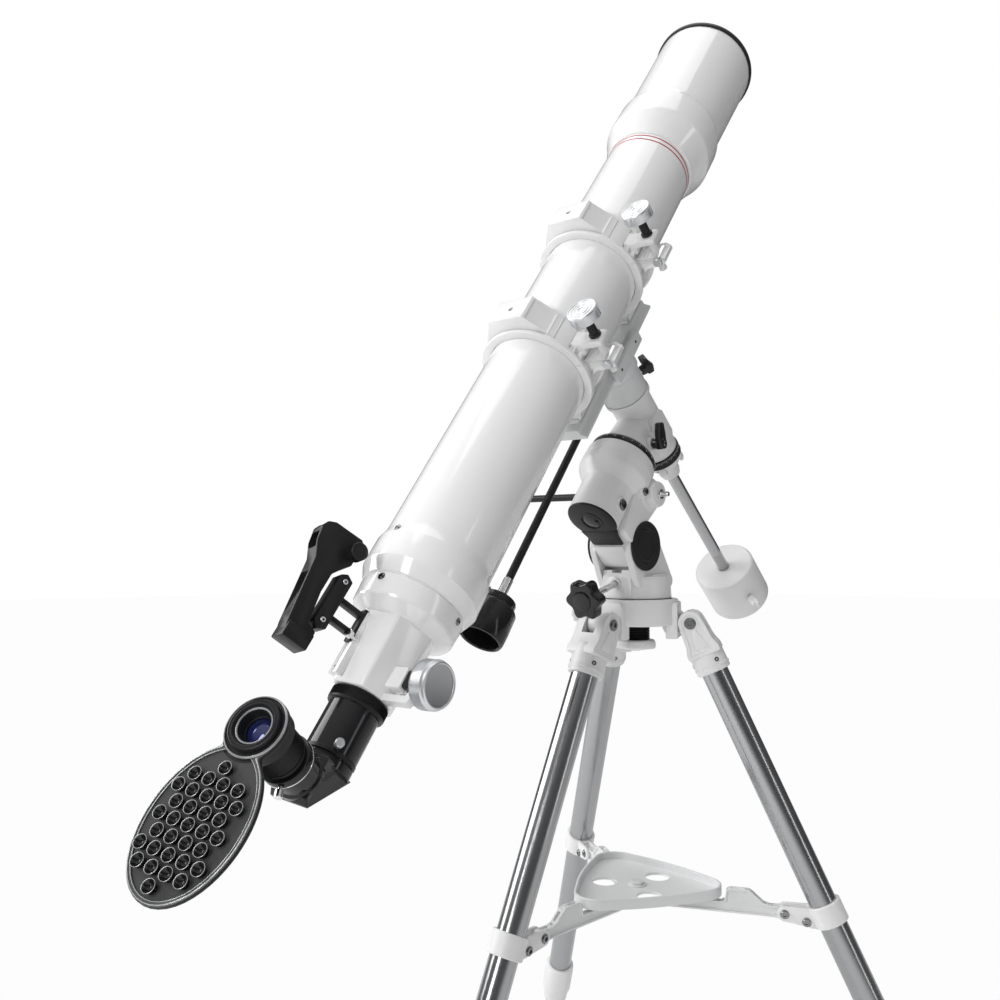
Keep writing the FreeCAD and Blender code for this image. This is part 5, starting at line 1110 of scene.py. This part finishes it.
# ---------------------------------------------------------------- slow-motion controls
class TELESCOPE_OT_controls(MakePiece, bpy.types.Operator):
    """The two slow-motion controls and their worm shafts"""
    bl_idname = "telescope.controls"
    bl_label = "Slow-motion Controls"

    def control(self, name, where, body, node, end):
        radius = mount_sizes().knob_radius / MM
        rod = lathe([(0, 8), (4.4, 8), (4.8, 8.6), (4.8, end - 34), (0, end - 34)], 40, "black_satin")
        sleeve = lathe([(0, 0.5), (5.6, 0.5), (6.2, 1.2), (6.2, 22), (5.4, 23), (0, 23)], 40, "black_satin")
        grub = moved(cap_screw(1.6, 0.6), shift(6.0, 0, 8) @ spin(90, "Y"))
        ferrule = lathe([(0, end - 36), (5.2, end - 36), (5.6, end - 35.4), (5.6, end - 6), (6.4, end - 5),
                         (0, end - 5)], 40, "chrome")
        cup = lathe([(0, end - 8), (radius - 8, end - 8), (radius - 5.6, end - 7.4), (radius - 5, end - 6),
                     (radius - 5, end + 2.4), (radius - 1.6, end + 4), (radius, end + 6.6),
                     (radius + 0.6, end + 30), (radius + 0.2, end + 43), (radius - 1.2, end + 46),
                     (radius - 3.2, end + 46.4), (radius - 4.4, end + 45), (radius - 5, end + 14),
                     (0, end + 12)], 96, "black_gloss")
        settle(unite([rod, sleeve, grub, ferrule, cup]), name, where, body, [node])

    def make(self):
        polar_worm = place(point_of("polar_worm_spin"), axis_of("polar_worm_spin"), POLAR_WAY)
        self.control("polar_control_knob", polar_worm @ shift(0, 0, -48 * MM) @ spin(180, "X"),
                     "polar_drive", "polar_control", 214)
        stub = lathe([(0, -64), (2.9, -64), (3.2, -63.6), (3.2, 59), (2.8, 60), (0, 60)], 40, "chrome")
        settle(stub, "polar_worm_rod", polar_worm, "polar_drive", ["polar_worm_shaft"])
        dec_worm = place(point_of("dec_worm_spin"), TUBE_WAY, DEC_WAY)
        self.control("dec_control_knob", dec_worm @ shift(0, 0, -45.5 * MM) @ spin(180, "X"), "dec_drive",
                     "dec_control", 305)
        stub = lathe([(0, -58), (2.9, -58), (3.2, -57.6), (3.2, 33), (2.8, 34), (0, 34)], 40, "chrome")
        settle(stub, "dec_worm_rod", dec_worm, "dec_drive", ["dec_worm_shaft"])


# ---------------------------------------------------------------- polar axis and fork
class TELESCOPE_OT_polar(MakePiece, bpy.types.Operator):
    """The polar housing with its end cap, bolts and setting circle"""
    bl_idname = "telescope.polar"
    bl_label = "Polar Housing"

    def make(self):
        radius = mount_sizes().housing_radius / MM
        worm = POLAR.inverted() @ point_of("polar_worm_spin") / MM
        pivot = POLAR.inverted() @ point_of("latitude_tilt") / MM
        barrel = lathe([(0, -145.6), (radius - 1, -145.6), (radius, -144.6), (radius, -97),
                        (radius + 1.6, -94.4), (42.6, -84), (45, -80.2), (46, -77), (46.2, -74), (46.2, -66),
                        (45.7, -65.4), (45.7, -64.6), (46.1, -64), (45.2, -50), (44.4, -48.4), (17, -48.4),
                        (0, -48.4)], 144, "cast_enamel")
        lug = slab(belt([(pivot.y, pivot.z, 29), (pivot.y - 20, pivot.z + 40, 12), (12, -86, 14),
                         (10, -132, 13)], 14), -22, 22, "cast_enamel")
        soften(lug, 1.2, 2, 30)
        moved(lug, UPRIGHT)
        carve(lug, block(60, 90, 40, (0, 1, -166), 0))
        plate = slab(belt([(44, -138, 6), (worm.y, worm.z - 2, 22), (20, -82, 10), (28, -138, 6)], 10), -22,
                     34, "cast_enamel")
        soften(plate, 1.4, 2, 30)
        moved(plate, UPRIGHT)
        along_worm = shift(0, worm.y, worm.z) @ spin(90, "Y")
        case = lathe([(0, -48), (14.6, -48), (16.4, -47), (17, -45.6), (17, -30), (22, -24), (22, 33),
                      (21, 34.6), (17, 35.4), (16.6, 44), (15.4, 46.4), (13, 47), (0, 47)], 80,
                     "cast_enamel")
        moved(case, along_worm)
        collar = lathe([(0, 46), (6.4, 46), (6.8, 46.6), (6.8, 49.4), (6.2, 50), (3.3, 50), (0, 50)], 40,
                       "chrome")
        moved(collar, along_worm)
        boss = moved(lathe([(0, 10), (9, 10), (8.6, 40.4), (7.8, 41.2), (0, 41.2)], 40, "cast_enamel"),
                     shift(0, 20, -83) @ spin(90, "Y"))
        small = moved(cap_screw(4.6, 2.4, 5.6), shift(41, 20, -83) @ spin(90, "Y"))
        seat = moved(lathe([(0, 20), (9.4, 20), (9.2, 34.8), (8.6, 35.4), (0, 35.4)], 40, "cast_enamel"),
                     shift(0, -1, -123) @ spin(90, "Y"))
        big = moved(cap_screw(6.0, 2.6, 7.2), shift(35.2, -1, -123) @ spin(90, "Y"))
        settle(unite([barrel, lug, plate, case, collar, boss, small, seat, big]), "polar_casting", POLAR,
               "polar", ["polar_housing"])

        disc = lathe([(0, -148.6), (11, -148.6), (12.6, -148.2), (13.2, -149.4), (15, -149.6),
                      (15.8, -148.6), (30.4, -148.6), (31.8, -148.0), (32.4, -147), (32.4, -145.7),
                      (0, -145.7)], 96, "black_satin")
        dome = lathe([(0, -150.6), (6, -150.3), (10, -149.4), (11.4, -148.4), (0, -148.4)], 64,
                     "black_gloss")
        skirt = slab([(-27, 19), (27, 19), (23.5, 30), (22.4, 45), (-22.4, 45), (-23.5, 30)], -149, -145.7,
                     "black_satin")
        soften(skirt, 0.7)
        settle(unite([disc, dome, skirt]), "polar_end_cap", POLAR, "polar", ["polar_cap"])

        circle = lathe([(30.4, -47.2), (43.6, -47.2), (44.2, -46.6), (42.9, -38.8), (42.2, -38.1),
                        (30.4, -38.1), (30.4, -47.2)], 144, "black_satin")
        long_tick = moved(block(0.5, 0.5, 4.6, soft=0, material="dial_white"),
                          shift(43.45, 0, -41.4) @ spin(-9, "Y"))
        short_tick = moved(block(0.5, 0.45, 2.4, soft=0, material="dial_white"),
                           shift(43.25, 0, -40.2) @ spin(-9, "Y"))
        settle(unite([circle, copies(long_tick, around(24)), copies(short_tick, around(96))]),
               "polar_dial_ring", POLAR, "polar_dial", ["polar_circle"])


class TELESCOPE_OT_fork(MakePiece, bpy.types.Operator):
    """The latitude fork with its pivot caps and star-headed screws"""
    bl_idname = "telescope.fork"
    bl_label = "Latitude Fork"

    def star(self, radius, high, material):
        """A lobed hand knob: a ring whose outline swells six times round."""
        outline = []
        for step in range(72):
            way = 2 * math.pi * step / 72
            swell = 0.895 + 0.105 * math.cos(6 * way)
            outline.append((radius * swell * math.cos(way), radius * swell * math.sin(way)))
        knob = slab(outline, 0, high, material)
        soften(knob, 3.2, 4, 50)
        return knob

    def make(self):
        pivot = HEAD.inverted() @ point_of("latitude_tilt") / MM
        floor = lathe([(9, 0.4), (45.2, 0.4), (46.2, 1.2), (46.6, 3), (46.2, 6), (45.2, 22), (44.6, 25.5),
                       (43.2, 28.4), (41.4, 29.4), (9, 29.4), (9, 0.4)], 128, "cast_enamel")
        cheeks = slab(belt([(pivot.y, pivot.z, 32.6), (-30, 22, 9), (33, 22, 9)], 16), -31.2, 31.2,
                      "cast_enamel")
        soften(cheeks, 1.6, 3, 30)
        moved(cheeks, UPRIGHT)
        carve(cheeks, block(44.6, 200, 120, (0, 0, 80), 1.5))
        shelf = block(20, 40, 10, (28, 8, 26), 2.0, "cast_enamel")
        wall = slab([(-22, -42), (22, -42), (22, -33), (10, -30), (-10, -30), (-22, -33)], 2, 37,
                    "cast_enamel")
        soften(wall, 1.4)
        carve(wall, block(15, 30, 8, (0, -36, 37.4), 0.6))
        screw_way = place(point_of("latitude_screw_spin"), axis_of("latitude_screw_spin"), (1, 0, 0))
        local = HEAD.inverted() @ screw_way
        local.translation = local.translation / MM
        bezel = moved(lathe([(4.3, -6), (8.2, -6), (7.8, 3.4), (7.0, 4.2), (4.3, 4.2), (4.3, -6)], 48,
                            "cast_enamel"), local)
        carve(wall, moved(drill(4.25, -20, 20, 32), local))
        # A thin black ring in the gap between the fork and the tripod head: painted shade.
        gap_shade_ring = lathe([(10, -0.1), (47.2, -0.1), (47.2, 0.45), (10, 0.45), (10, -0.1)], 96, "black_matt")
        settle(unite([floor, cheeks, shelf, wall, bezel, gap_shade_ring]), "fork_casting", HEAD, "base",
               ["mount_base"])

        caps = []
        for side in (1, -1):
            cap = lathe([(0, 0), (31, 0), (31.6, 0.8), (31.6, 2.6), (30.6, 4), (22.6, 4.2), (21.6, 3.4),
                         (20.8, 4.2), (18.6, 4.4), (18.0, 3.6), (0, 3.4)], 96, "black_satin")
            caps.append(moved(cap, shift(side * 31.25, pivot.y, pivot.z) @ spin(side * 90, "Y")))
        pin = moved(peg(8.9, -31.4, 31.4, 0.4, "chrome"), shift(0, pivot.y, pivot.z) @ spin(90, "Y"))
        settle(unite([*caps, pin]), "latitude_pivot_caps", HEAD, "base", ["latitude_pivot"])

        bolt = peg(4.15, -9, 62, 0.5, "chrome")
        nut = lathe([(0, 56), (7.6, 56), (8.2, 56.8), (8.2, 61), (0, 61)], 48, "chrome")
        knob = moved(self.star(25.5, 17, "black_gloss"), shift(0, 0, 60))
        hub = moved(lathe([(0, -1), (10, -1), (11, 0), (12.4, 3), (0, 3)], 64, "black_gloss"),
                    shift(0, 0, 59))
        crown = lathe([(0, 76), (13, 76), (12.4, 78.2), (10, 79), (0, 79)], 64, "black_gloss")
        settle(unite([bolt, nut, knob, hub, crown]), "latitude_screw_knob", screw_way, "tilt_screw",
               ["latitude_screw"], 45)

        clamp_way = place(point_of("azimuth_clamp_spin"), axis_of("azimuth_clamp_spin"), (0, 0, 1))
        knob = moved(self.star(18.5, 14, "pale_plastic"), shift(0, 0, 8))
        stem = lathe([(0, -30), (3.9, -30), (3.9, 3), (8, 4), (9.4, 8.6), (0, 8.6)], 40, "pale_plastic")
        settle(unite([knob, stem]), "azimuth_clamp_knob", clamp_way, "azimuth_clamp",
               ["azimuth_screw"], 45)


# ---------------------------------------------------------------- tripod
class TELESCOPE_OT_tripod_head(MakePiece, bpy.types.Operator):
    """The tripod's head with its hinge tongues and the locking knob below"""
    bl_idname = "telescope.tripod_head"
    bl_label = "Tripod Head"

    def make(self):
        radius = tripod_sizes().head_radius / MM
        disc = lathe([(10, -33.4), (radius - 2.4, -33.4), (radius - 0.8, -32.4), (radius, -30.6),
                      (radius, -3.2), (radius - 0.6, -1.4), (radius - 2, -0.4), (48, 0), (10, 0),
                      (10, -33.4)], 144, "cast_enamel")
        parts = [disc]
        bolts = []
        for name in LEGS:
            hinge = HEAD.inverted() @ leg_place(name).translation / MM
            way = math.degrees(math.atan2(hinge.y, hinge.x))
            reach = math.hypot(hinge.x, hinge.y)
            shoulder = slab([(-24, -50), (24, -50), (24, -8), (20, -4), (-20, -4), (-24, -8)], radius - 14,
                            radius + 1.0, "cast_enamel")
            soften(shoulder, 1.8)
            moved(shoulder, UPRIGHT)
            tongue = slab(belt([(reach, hinge.z, 13), (radius - 6, hinge.z + 4, 14),
                                (radius - 6, hinge.z - 4, 14)][::-1], 14), -9, 9, "cast_enamel")
            soften(tongue, 0.8)
            moved(tongue, Matrix(((1, 0, 0, 0), (0, 0, -1, 0), (0, 1, 0, 0), (0, 0, 0, 1))))
            parts.append(moved(unite([shoulder, tongue]), spin(way)))
            heads = copies(cap_screw(5.2, 2.6, 7.4, 3), [shift(reach, -22.8, hinge.z) @ spin(90, "X"),
                                                         shift(reach, 22.8, hinge.z) @ spin(-90, "X")])
            pin = moved(peg(3.95, -22.6, 22.6, 0.3, "chrome"), shift(reach, 0, hinge.z) @ spin(90, "X"))
            bolts.append(moved(unite([heads, pin]), spin(way)))
        screw = HEAD.inverted() @ point_of("azimuth_clamp_spin") / MM
        way = math.degrees(math.atan2(screw.y, screw.x))
        parts.append(moved(lathe([(4.1, 46), (9.6, 46), (9.2, 59), (8.2, 60), (4.1, 60), (4.1, 46)], 40,
                                 "cast_enamel"), spin(way) @ shift(0, 0, screw.z) @ spin(90, "Y")))
        settle(unite(parts), "head_casting", HEAD, "head", ["tripod_head"])
        settle(unite(bolts), "hinge_bolt_set", HEAD, "head", ["hinge_bolts"])

        bolt = lathe([(0, -68), (6, -68), (8.4, -66.6), (8.9, -65), (8.9, 14), (0, 14)], 40, "chrome")
        settle(bolt, "azimuth_centre_bolt", HEAD, "base", ["azimuth_bolt"])
        thread = [(9.1, -53.6), (17.6, -53.6)]
        for turn in range(9):
            low = -53 + turn * 2.05
            thread += [(17.2, low), (18.8, low + 1.0)]
        thread += [(17.2, -34.4), (16.4, -33.8), (9.1, -33.8), (9.1, -53.6)]
        knob = lathe([(9.1, -65), (23.6, -65), (26.4, -64), (27.6, -62.2), (27.6, -56.4), (26.6, -54.6),
                      (24, -53.8), (9.1, -53.4), (9.1, -65)], 8, "cast_enamel", 12)
        soften(knob, 1.4, 3, 25)
        settle(unite([lathe(thread, 72, "black_satin"), knob]), "azimuth_lock_nut", HEAD, "azimuth_knob",
               ["azimuth_lock_knob"])


class TELESCOPE_OT_legs(MakePiece, bpy.types.Operator):
    """The three legs with their sockets, bands, clamps, sliding tubes and feet"""
    bl_idname = "telescope.legs"
    bl_label = "Legs"
    band_place = 383.0
    arm_rise = 17.0
    arm_reach = 47.4

    def socket(self):
        """The forked casting that hinges the leg to the head."""
        fork = slab([(-15.5, 0), (-14.4, 6), (-11, 11), (-6, 14.3), (0, 15.5), (6, 14.3), (11, 11),
                     (14.4, 6), (15.5, 0), (17.6, -26), (21, -36), (21.2, -44), (-21.2, -44), (-21, -36),
                     (-17.6, -26)][::-1], -22.6, 22.6, "cast_enamel")
        soften(fork, 1.5, 3, 50)
        edit(fork, "DESELECT")
        pick_faces(fork, lambda c, n: abs(n.z) > 0.999)
        bpy.ops.mesh.inset(thickness=3.0, depth=0, use_individual=True)
        bpy.ops.mesh.inset(thickness=1.0, depth=-1.4, use_individual=True)
        leave()
        moved(fork, spin(90, "X"))
        carve(fork, block(80, 20, 36, (0, 0, 1), 1.0))
        rings = copies(lathe([(4.2, 0), (10.4, 0), (10.4, 1.6), (9.6, 2.2), (4.2, 2.2), (4.2, 0)], 48,
                             "cast_enamel"), [shift(0, -20.4, 0) @ spin(90, "X"),
                                              shift(0, 20.4, 0) @ spin(-90, "X")])
        rib = slab([(-3, -10), (3, -10), (9, -34), (-9, -34)][::-1], 20.6, 22.4, "cast_enamel")
        soften(rib, 0.5)
        rib = copies(rib, [spin(90, "X"), spin(90, "X") @ spin(180, "Y")])
        collar = lathe([(17.1, -67), (20.8, -67), (21.6, -66.2), (21.8, -64), (21.8, -40), (21.2, -32),
                        (20, -29.4), (17.1, -29), (17.1, -67)], 96, "cast_enamel")
        lip = lathe([(21.4, -62), (22.6, -61.4), (22.6, -58.6), (21.4, -58)], 96, "cast_enamel")
        screws = copies(cap_screw(2.2, 1.2, 3.0, 2),
                        [spin(w) @ shift(21.4, 0, -53) @ spin(90, "Y") for w in (-60, 60, 180)])
        return [fork, rings, rib, collar, lip, screws]

    def band(self):
        """The collar half-way down that carries the spreader arm."""
        low, high = -self.band_place - 13, -self.band_place + 13
        ring = lathe([(17.05, low), (20.2, low), (21, low + 0.8), (21, high - 0.8), (20.2, high),
                      (17.05, high), (17.05, low)], 80, "cast_enamel")
        ears = []
        for side in (-1, 1):
            ear = slab(belt([(-self.arm_reach, -self.band_place + self.arm_rise, 9),
                             (-16, -self.band_place - 9, 4), (-16, -self.band_place + 9, 4)], 12), -2.1, 2.1,
                       "cast_enamel")
            soften(ear, 0.8)
            moved(ear, spin(90, "X"))
            ears.append(moved(ear, shift(0, side * 7.5, 0)))
        heel = block(8, 15, 20, (-22, 0, -self.band_place), 1.4, "cast_enamel")
        holes = ((-self.arm_reach, -self.band_place + self.arm_rise), (-27, -self.band_place))
        seats = [shift(x, side * 9.6, z) @ spin(side * -90, "X") for x, z in holes for side in (-1, 1)]
        bolts = copies(cap_screw(4.4, 2.4, 5.6, 2), seats)
        return [ring, *ears, heel, bolts]

    def clamp(self):
        """The lower clamp round the sliding tube."""
        body = lathe([(13.8, -700), (17.6, -700), (18.4, -699), (19.4, -686), (21, -680), (22, -676),
                      (22, -634), (21.2, -631), (19.6, -630), (17.05, -630), (17.05, -640), (13.8, -640),
                      (13.8, -700)], 96, "cast_enamel")
        lug = block(14, 16, 40, (24, 0, -656), 2.2, "cast_enamel")
        carve(lug, block(30, 1.6, 60, (24, 0, -656), 0))
        screws = copies(cap_screw(3.0, 2.0, 4.2, 2),
                        [shift(26, -8, z) @ spin(90, "X") for z in (-645, -667)])
        return [body, lug, screws]

    def make(self):
        radius = tripod_sizes().leg_radius / MM
        for name in LEGS:
            where = leg_place(name)
            steel = "leg_steel_" + name
            tube = lathe([(radius - 1.2, -640), (radius, -640), (radius, -36), (radius - 1.2, -36),
                          (radius - 1.2, -640)], 96, steel)
            settle(tube, "leg_upper_tube_" + name, where, "leg_" + name, ["leg_tube_" + name])
            fittings = unite([*self.socket(), *self.band(), *self.clamp()])
            settle(fittings, "leg_castings_" + name, where, "leg_" + name,
                   ["leg_fittings_" + name])
            slider = lathe([(12.3, -740), (13.5, -740), (13.5, -291), (12.9, -290), (12.3, -291),
                            (12.3, -740)], 80, steel)
            foot = lathe([(0, -782), (10, -782), (15, -779), (17, -773), (17, -746), (16.2, -743),
                          (15, -741.4), (13.6, -740.8), (0, -740.8)], 80, "rubber")
            grooves = [lathe([(16.9, z - 1.2), (17.5, z - 0.8), (17.5, z + 0.8), (16.9, z + 1.2)], 80,
                             "rubber") for z in (-750, -755, -760)]
            settle(unite([slider, foot, *grooves]), "leg_slider_" + name, where, "lower_" + name,
                   ["lower_leg_" + name], floor=CAD_BOX[0][2] + 0.0002)


class TELESCOPE_OT_tray(MakePiece, bpy.types.Operator):
    """The accessory tray, its centre nut and the three spreader arms"""
    bl_idname = "telescope.tray"
    bl_label = "Tray and Arms"

    def make(self):
        reach = tripod_sizes().tray_reach / MM
        where = Matrix.Translation(point_of("tray_twist"))
        hinges = [HEAD.inverted() @ leg_place(name).translation for name in LEGS]
        ways = [math.atan2(hinge.y, hinge.x) for hinge in hinges]
        corner, bow = 30, 5.5

        def outline(inset):
            """Rounded triangle with sides that bow out a little."""
            points = []
            round_off, centre = corner - inset, reach - corner
            for way in ways:
                for step in range(-10, 11):
                    turn = way + math.radians(step * 6 * 0.86)
                    points.append((centre * math.cos(way) + round_off * math.cos(turn),
                                   centre * math.sin(way) + round_off * math.sin(turn)))
                side = way + math.radians(60)
                for step in range(-4, 5):
                    out = centre * 0.5 + round_off + bow * (1 - (step / 5) ** 2)
                    along = centre * 0.84 * step / 5
                    points.append((out * math.cos(side) - along * math.sin(side),
                                   out * math.sin(side) + along * math.cos(side)))
            return points

        dish = slab(outline(0), 0, 13, "pale_plastic")
        edit(dish, "DESELECT")
        pick_faces(dish, lambda c, n: n.z > 0.999)
        bpy.ops.mesh.inset(thickness=3.4, depth=0)
        bpy.ops.mesh.extrude_region_move(TRANSFORM_OT_translate={"value": (0, 0, -9.8)})
        leave()
        soften(dish, 1.1, 3, 45)
        for way in ways:
            turn = way + math.radians(60)
            hole = drill(15.9, -10, 10, 64)
            carve(dish, moved(hole, shift(42 * math.cos(turn), 42 * math.sin(turn), 0)))
        carve(dish, drill(9.3, -10, 10, 48))
        settle(dish, "tray_dish", where, "tray_dish", ["tray"])
        hub = lathe([(0, -1.5), (15.4, -1.5), (16, -1.1), (16, -0.3), (9, -0.3), (9, 3.3), (11.6, 3.3),
                     (12, 3.8), (12, 4.4), (11.4, 4.8), (0, 4.8)], 64, "pale_plastic")
        nut = lathe([(0, 4.6), (9, 4.6), (9.6, 5.2), (9.6, 7.4), (8.8, 8), (0, 8)], 6, "pale_enamel")
        soften(nut, 0.4)
        settle(unite([hub, nut]), "tray_centre_nut", where, "tray_lifter", ["tray_hub"])

        for name in LEGS:
            pivot = point_of("arm_fold_" + name)
            outward = axis_of("arm_fold_" + name).cross(Vector((0, 0, 1)))
            frame_arm = place(pivot, (0, 0, 1), outward)
            long = (pivot - point_of("tray_twist")).xy.length / MM - 36
            bar = slab([(7, 0), (5, 5), (0, 7.3), (-18, 7.0), (-25, 9), (-38, 20), (-42, 22.6), (-47, 23),
                        (-66, 23), (-70, 20.5), (-72, 8), (-75, 6.4), (-long + 3, 6.4), (-long, 3.4),
                        (-long, -3.4), (-long + 3, -6.4), (-20, -6.4), (0, -7.3), (5, -5)][::-1], -5, 5,
                       "pale_plastic")
            edit(bar, "DESELECT")
            pick_faces(bar, lambda c, n: abs(n.z) > 0.999)
            bpy.ops.mesh.inset(thickness=2.0, depth=0, use_individual=True)
            bpy.ops.mesh.inset(thickness=0.5, depth=-2.4, use_individual=True)
            leave()
            soften(bar, 0.6, 2, 45)
            moved(bar, spin(90, "X"))
            eye = moved(peg(7.4, -5, 5, 0.5, "pale_plastic"), spin(90, "X"))
            pin = moved(peg(2.5, -9.2, 9.2, 0.3, "chrome"), spin(90, "X"))
            settle(unite([bar, eye, pin]), "spreader_" + name, frame_arm, "arm_" + name,
                   ["spreader_arm_" + name])


# ---------------------------------------------------------------- stage
class TELESCOPE_OT_stage(MakePiece, bpy.types.Operator):
    """The pale floor, the white surround, the soft studio lights and the camera"""
    bl_idname = "telescope.stage"
    bl_label = "Stage"

    def lamp(self, name, at, aim, size, power):
        start()
        bpy.ops.object.light_add(type="AREA", location=at)
        lamp = bpy.context.object
        lamp.name = name
        lamp.data.shape = "RECTANGLE"
        lamp.data.size, lamp.data.size_y = size
        lamp.data.energy = power * bpy.context.scene.telescope_stage.light
        lamp.rotation_euler = (Vector(aim) - Vector(at)).to_track_quat("-Z", "Y").to_euler()

    def studio_air(self):
        """White behind the object, and for the reflections a dimmer surround that is brighter overhead."""
        world = bpy.context.scene.world or bpy.data.worlds.new("studio")
        bpy.context.scene.world = world
        world.use_nodes = True
        nodes, links = world.node_tree.nodes, world.node_tree.links
        nodes.clear()
        way, parts = nodes.new("ShaderNodeTexCoord"), nodes.new("ShaderNodeSeparateXYZ")
        ramp, seen = nodes.new("ShaderNodeValToRGB"), nodes.new("ShaderNodeLightPath")
        plain, surround = nodes.new("ShaderNodeBackground"), nodes.new("ShaderNodeBackground")
        mix, outlet = nodes.new("ShaderNodeMixShader"), nodes.new("ShaderNodeOutputWorld")
        ramp.color_ramp.elements[0].color = (0.06, 0.06, 0.062, 1)
        ramp.color_ramp.elements[1].position = 0.85
        ramp.color_ramp.elements[1].color = (0.62, 0.62, 0.62, 1)
        middle = ramp.color_ramp.elements.new(0.35)
        middle.color = (0.15, 0.15, 0.155, 1)
        plain.inputs["Color"].default_value = (1, 1, 1, 1)
        links.new(way.outputs["Generated"], parts.inputs["Vector"])
        links.new(parts.outputs["Z"], ramp.inputs["Fac"])
        links.new(ramp.outputs["Color"], surround.inputs["Color"])
        links.new(seen.outputs["Is Camera Ray"], mix.inputs["Fac"])
        links.new(surround.outputs["Background"], mix.inputs[1])
        links.new(plain.outputs["Background"], mix.inputs[2])
        links.new(mix.outputs["Shader"], outlet.inputs["Surface"])

    def make(self):
        colours = bpy.context.scene.telescope_stage
        start()
        bpy.ops.mesh.primitive_circle_add(vertices=96, radius=14, fill_type="NGON",
                                          location=(0, 0, CAD_BOX[0][2] - 0.0005))
        floor = bpy.context.object
        bpy.ops.object.transform_apply(location=True)
        floor.name = "floor"
        material, nodes, links = new_material("floor_paper")
        shader = nodes["Principled BSDF"]
        shader.inputs["Base Color"].default_value = (*colours.floor, 1)
        shader.inputs["Roughness"].default_value = 1.0
        shader.inputs["Specular IOR Level"].default_value = 0.0
        seen, glow = nodes.new("ShaderNodeLightPath"), nodes.new("ShaderNodeEmission")
        mix = nodes.new("ShaderNodeMixShader")
        glow.inputs["Color"].default_value = (0.98, 0.98, 0.98, 1)
        links.new(seen.outputs["Is Camera Ray"], mix.inputs["Fac"])
        links.new(shader.outputs["BSDF"], mix.inputs[1])
        links.new(glow.outputs["Emission"], mix.inputs[2])
        links.new(mix.outputs["Shader"], nodes["Material Output"].inputs["Surface"])
        floor.data.materials.append(material)

        bpy.context.scene.view_settings.view_transform = "Standard"
        self.studio_air()
        centre = (0, 0, 0.95)
        self.lamp("key_light", (0.35, -3.0, 1.9), centre, (0.75, 2.4), 46)
        self.lamp("left_light", (-2.9, -1.7, 2.3), centre, (2.4, 2.4), 92)
        self.lamp("top_light", (-0.4, 0.3, 3.6), centre, (2.2, 2.2), 24)
        self.lamp("right_strip", (2.9, 0.6, 1.3), centre, (0.3, 2.2), 5)

        camera_data = bpy.data.cameras.new("camera")
        camera = bpy.data.objects.new("camera", camera_data)
        bpy.context.collection.objects.link(camera)
        camera.location = CAMERA_PLACE
        camera.rotation_euler = [math.radians(turn) for turn in CAMERA_TURN]
        camera_data.lens = CAMERA_LENS
        camera_data.sensor_width = 36
        camera_data.clip_start = 0.02
        camera_data.clip_end = 60
        bpy.context.scene.camera = camera


PIECE_MAKERS = (TELESCOPE_OT_stage, TELESCOPE_OT_tube, TELESCOPE_OT_rear_cell, TELESCOPE_OT_focuser,
                TELESCOPE_OT_eye_end, TELESCOPE_OT_phone_holder, TELESCOPE_OT_finder, TELESCOPE_OT_cradle,
                TELESCOPE_OT_declination, TELESCOPE_OT_controls, TELESCOPE_OT_polar, TELESCOPE_OT_fork,
                TELESCOPE_OT_tripod_head, TELESCOPE_OT_legs, TELESCOPE_OT_tray)
PROPERTY_GROUPS = {"telescope_tube": TubeSizes, "telescope_mount": MountSizes,
                   "telescope_tripod": TripodSizes, "telescope_stage": StageColours}


class TELESCOPE_PT_panel(bpy.types.Panel):
    """Lists the pieces and the sizes they are made from"""
    bl_idname = "TELESCOPE_PT_panel"
    bl_label = "Telescope on Tripod"
    bl_space_type = "VIEW_3D"
    bl_region_type = "UI"
    bl_category = "Telescope"

    def draw(self, context):
        layout = self.layout
        for name, group in PROPERTY_GROUPS.items():
            box = layout.box()
            for key in group.__annotations__:
                box.prop(getattr(context.scene, name), key)
        for maker in PIECE_MAKERS:
            layout.operator(maker.bl_idname)


def register():
    for name, group in PROPERTY_GROUPS.items():
        bpy.utils.register_class(group)
        setattr(bpy.types.Scene, name, bpy.props.PointerProperty(type=group))
    for maker in PIECE_MAKERS:
        bpy.utils.register_class(maker)
    bpy.utils.register_class(TELESCOPE_PT_panel)


def unregister():
    bpy.utils.unregister_class(TELESCOPE_PT_panel)
    for maker in reversed(PIECE_MAKERS):
        bpy.utils.unregister_class(maker)
    for name, group in PROPERTY_GROUPS.items():
        delattr(bpy.types.Scene, name)
        bpy.utils.unregister_class(group)


def main():
    register()
    for maker in PIECE_MAKERS:
        family, name = maker.bl_idname.split(".")
        if getattr(getattr(bpy.ops, family), name)() != {"FINISHED"}:
            raise RuntimeError(maker.bl_label + " was not finished")
    bpy.context.view_layer.update()


if __name__ == "__main__":
    main()
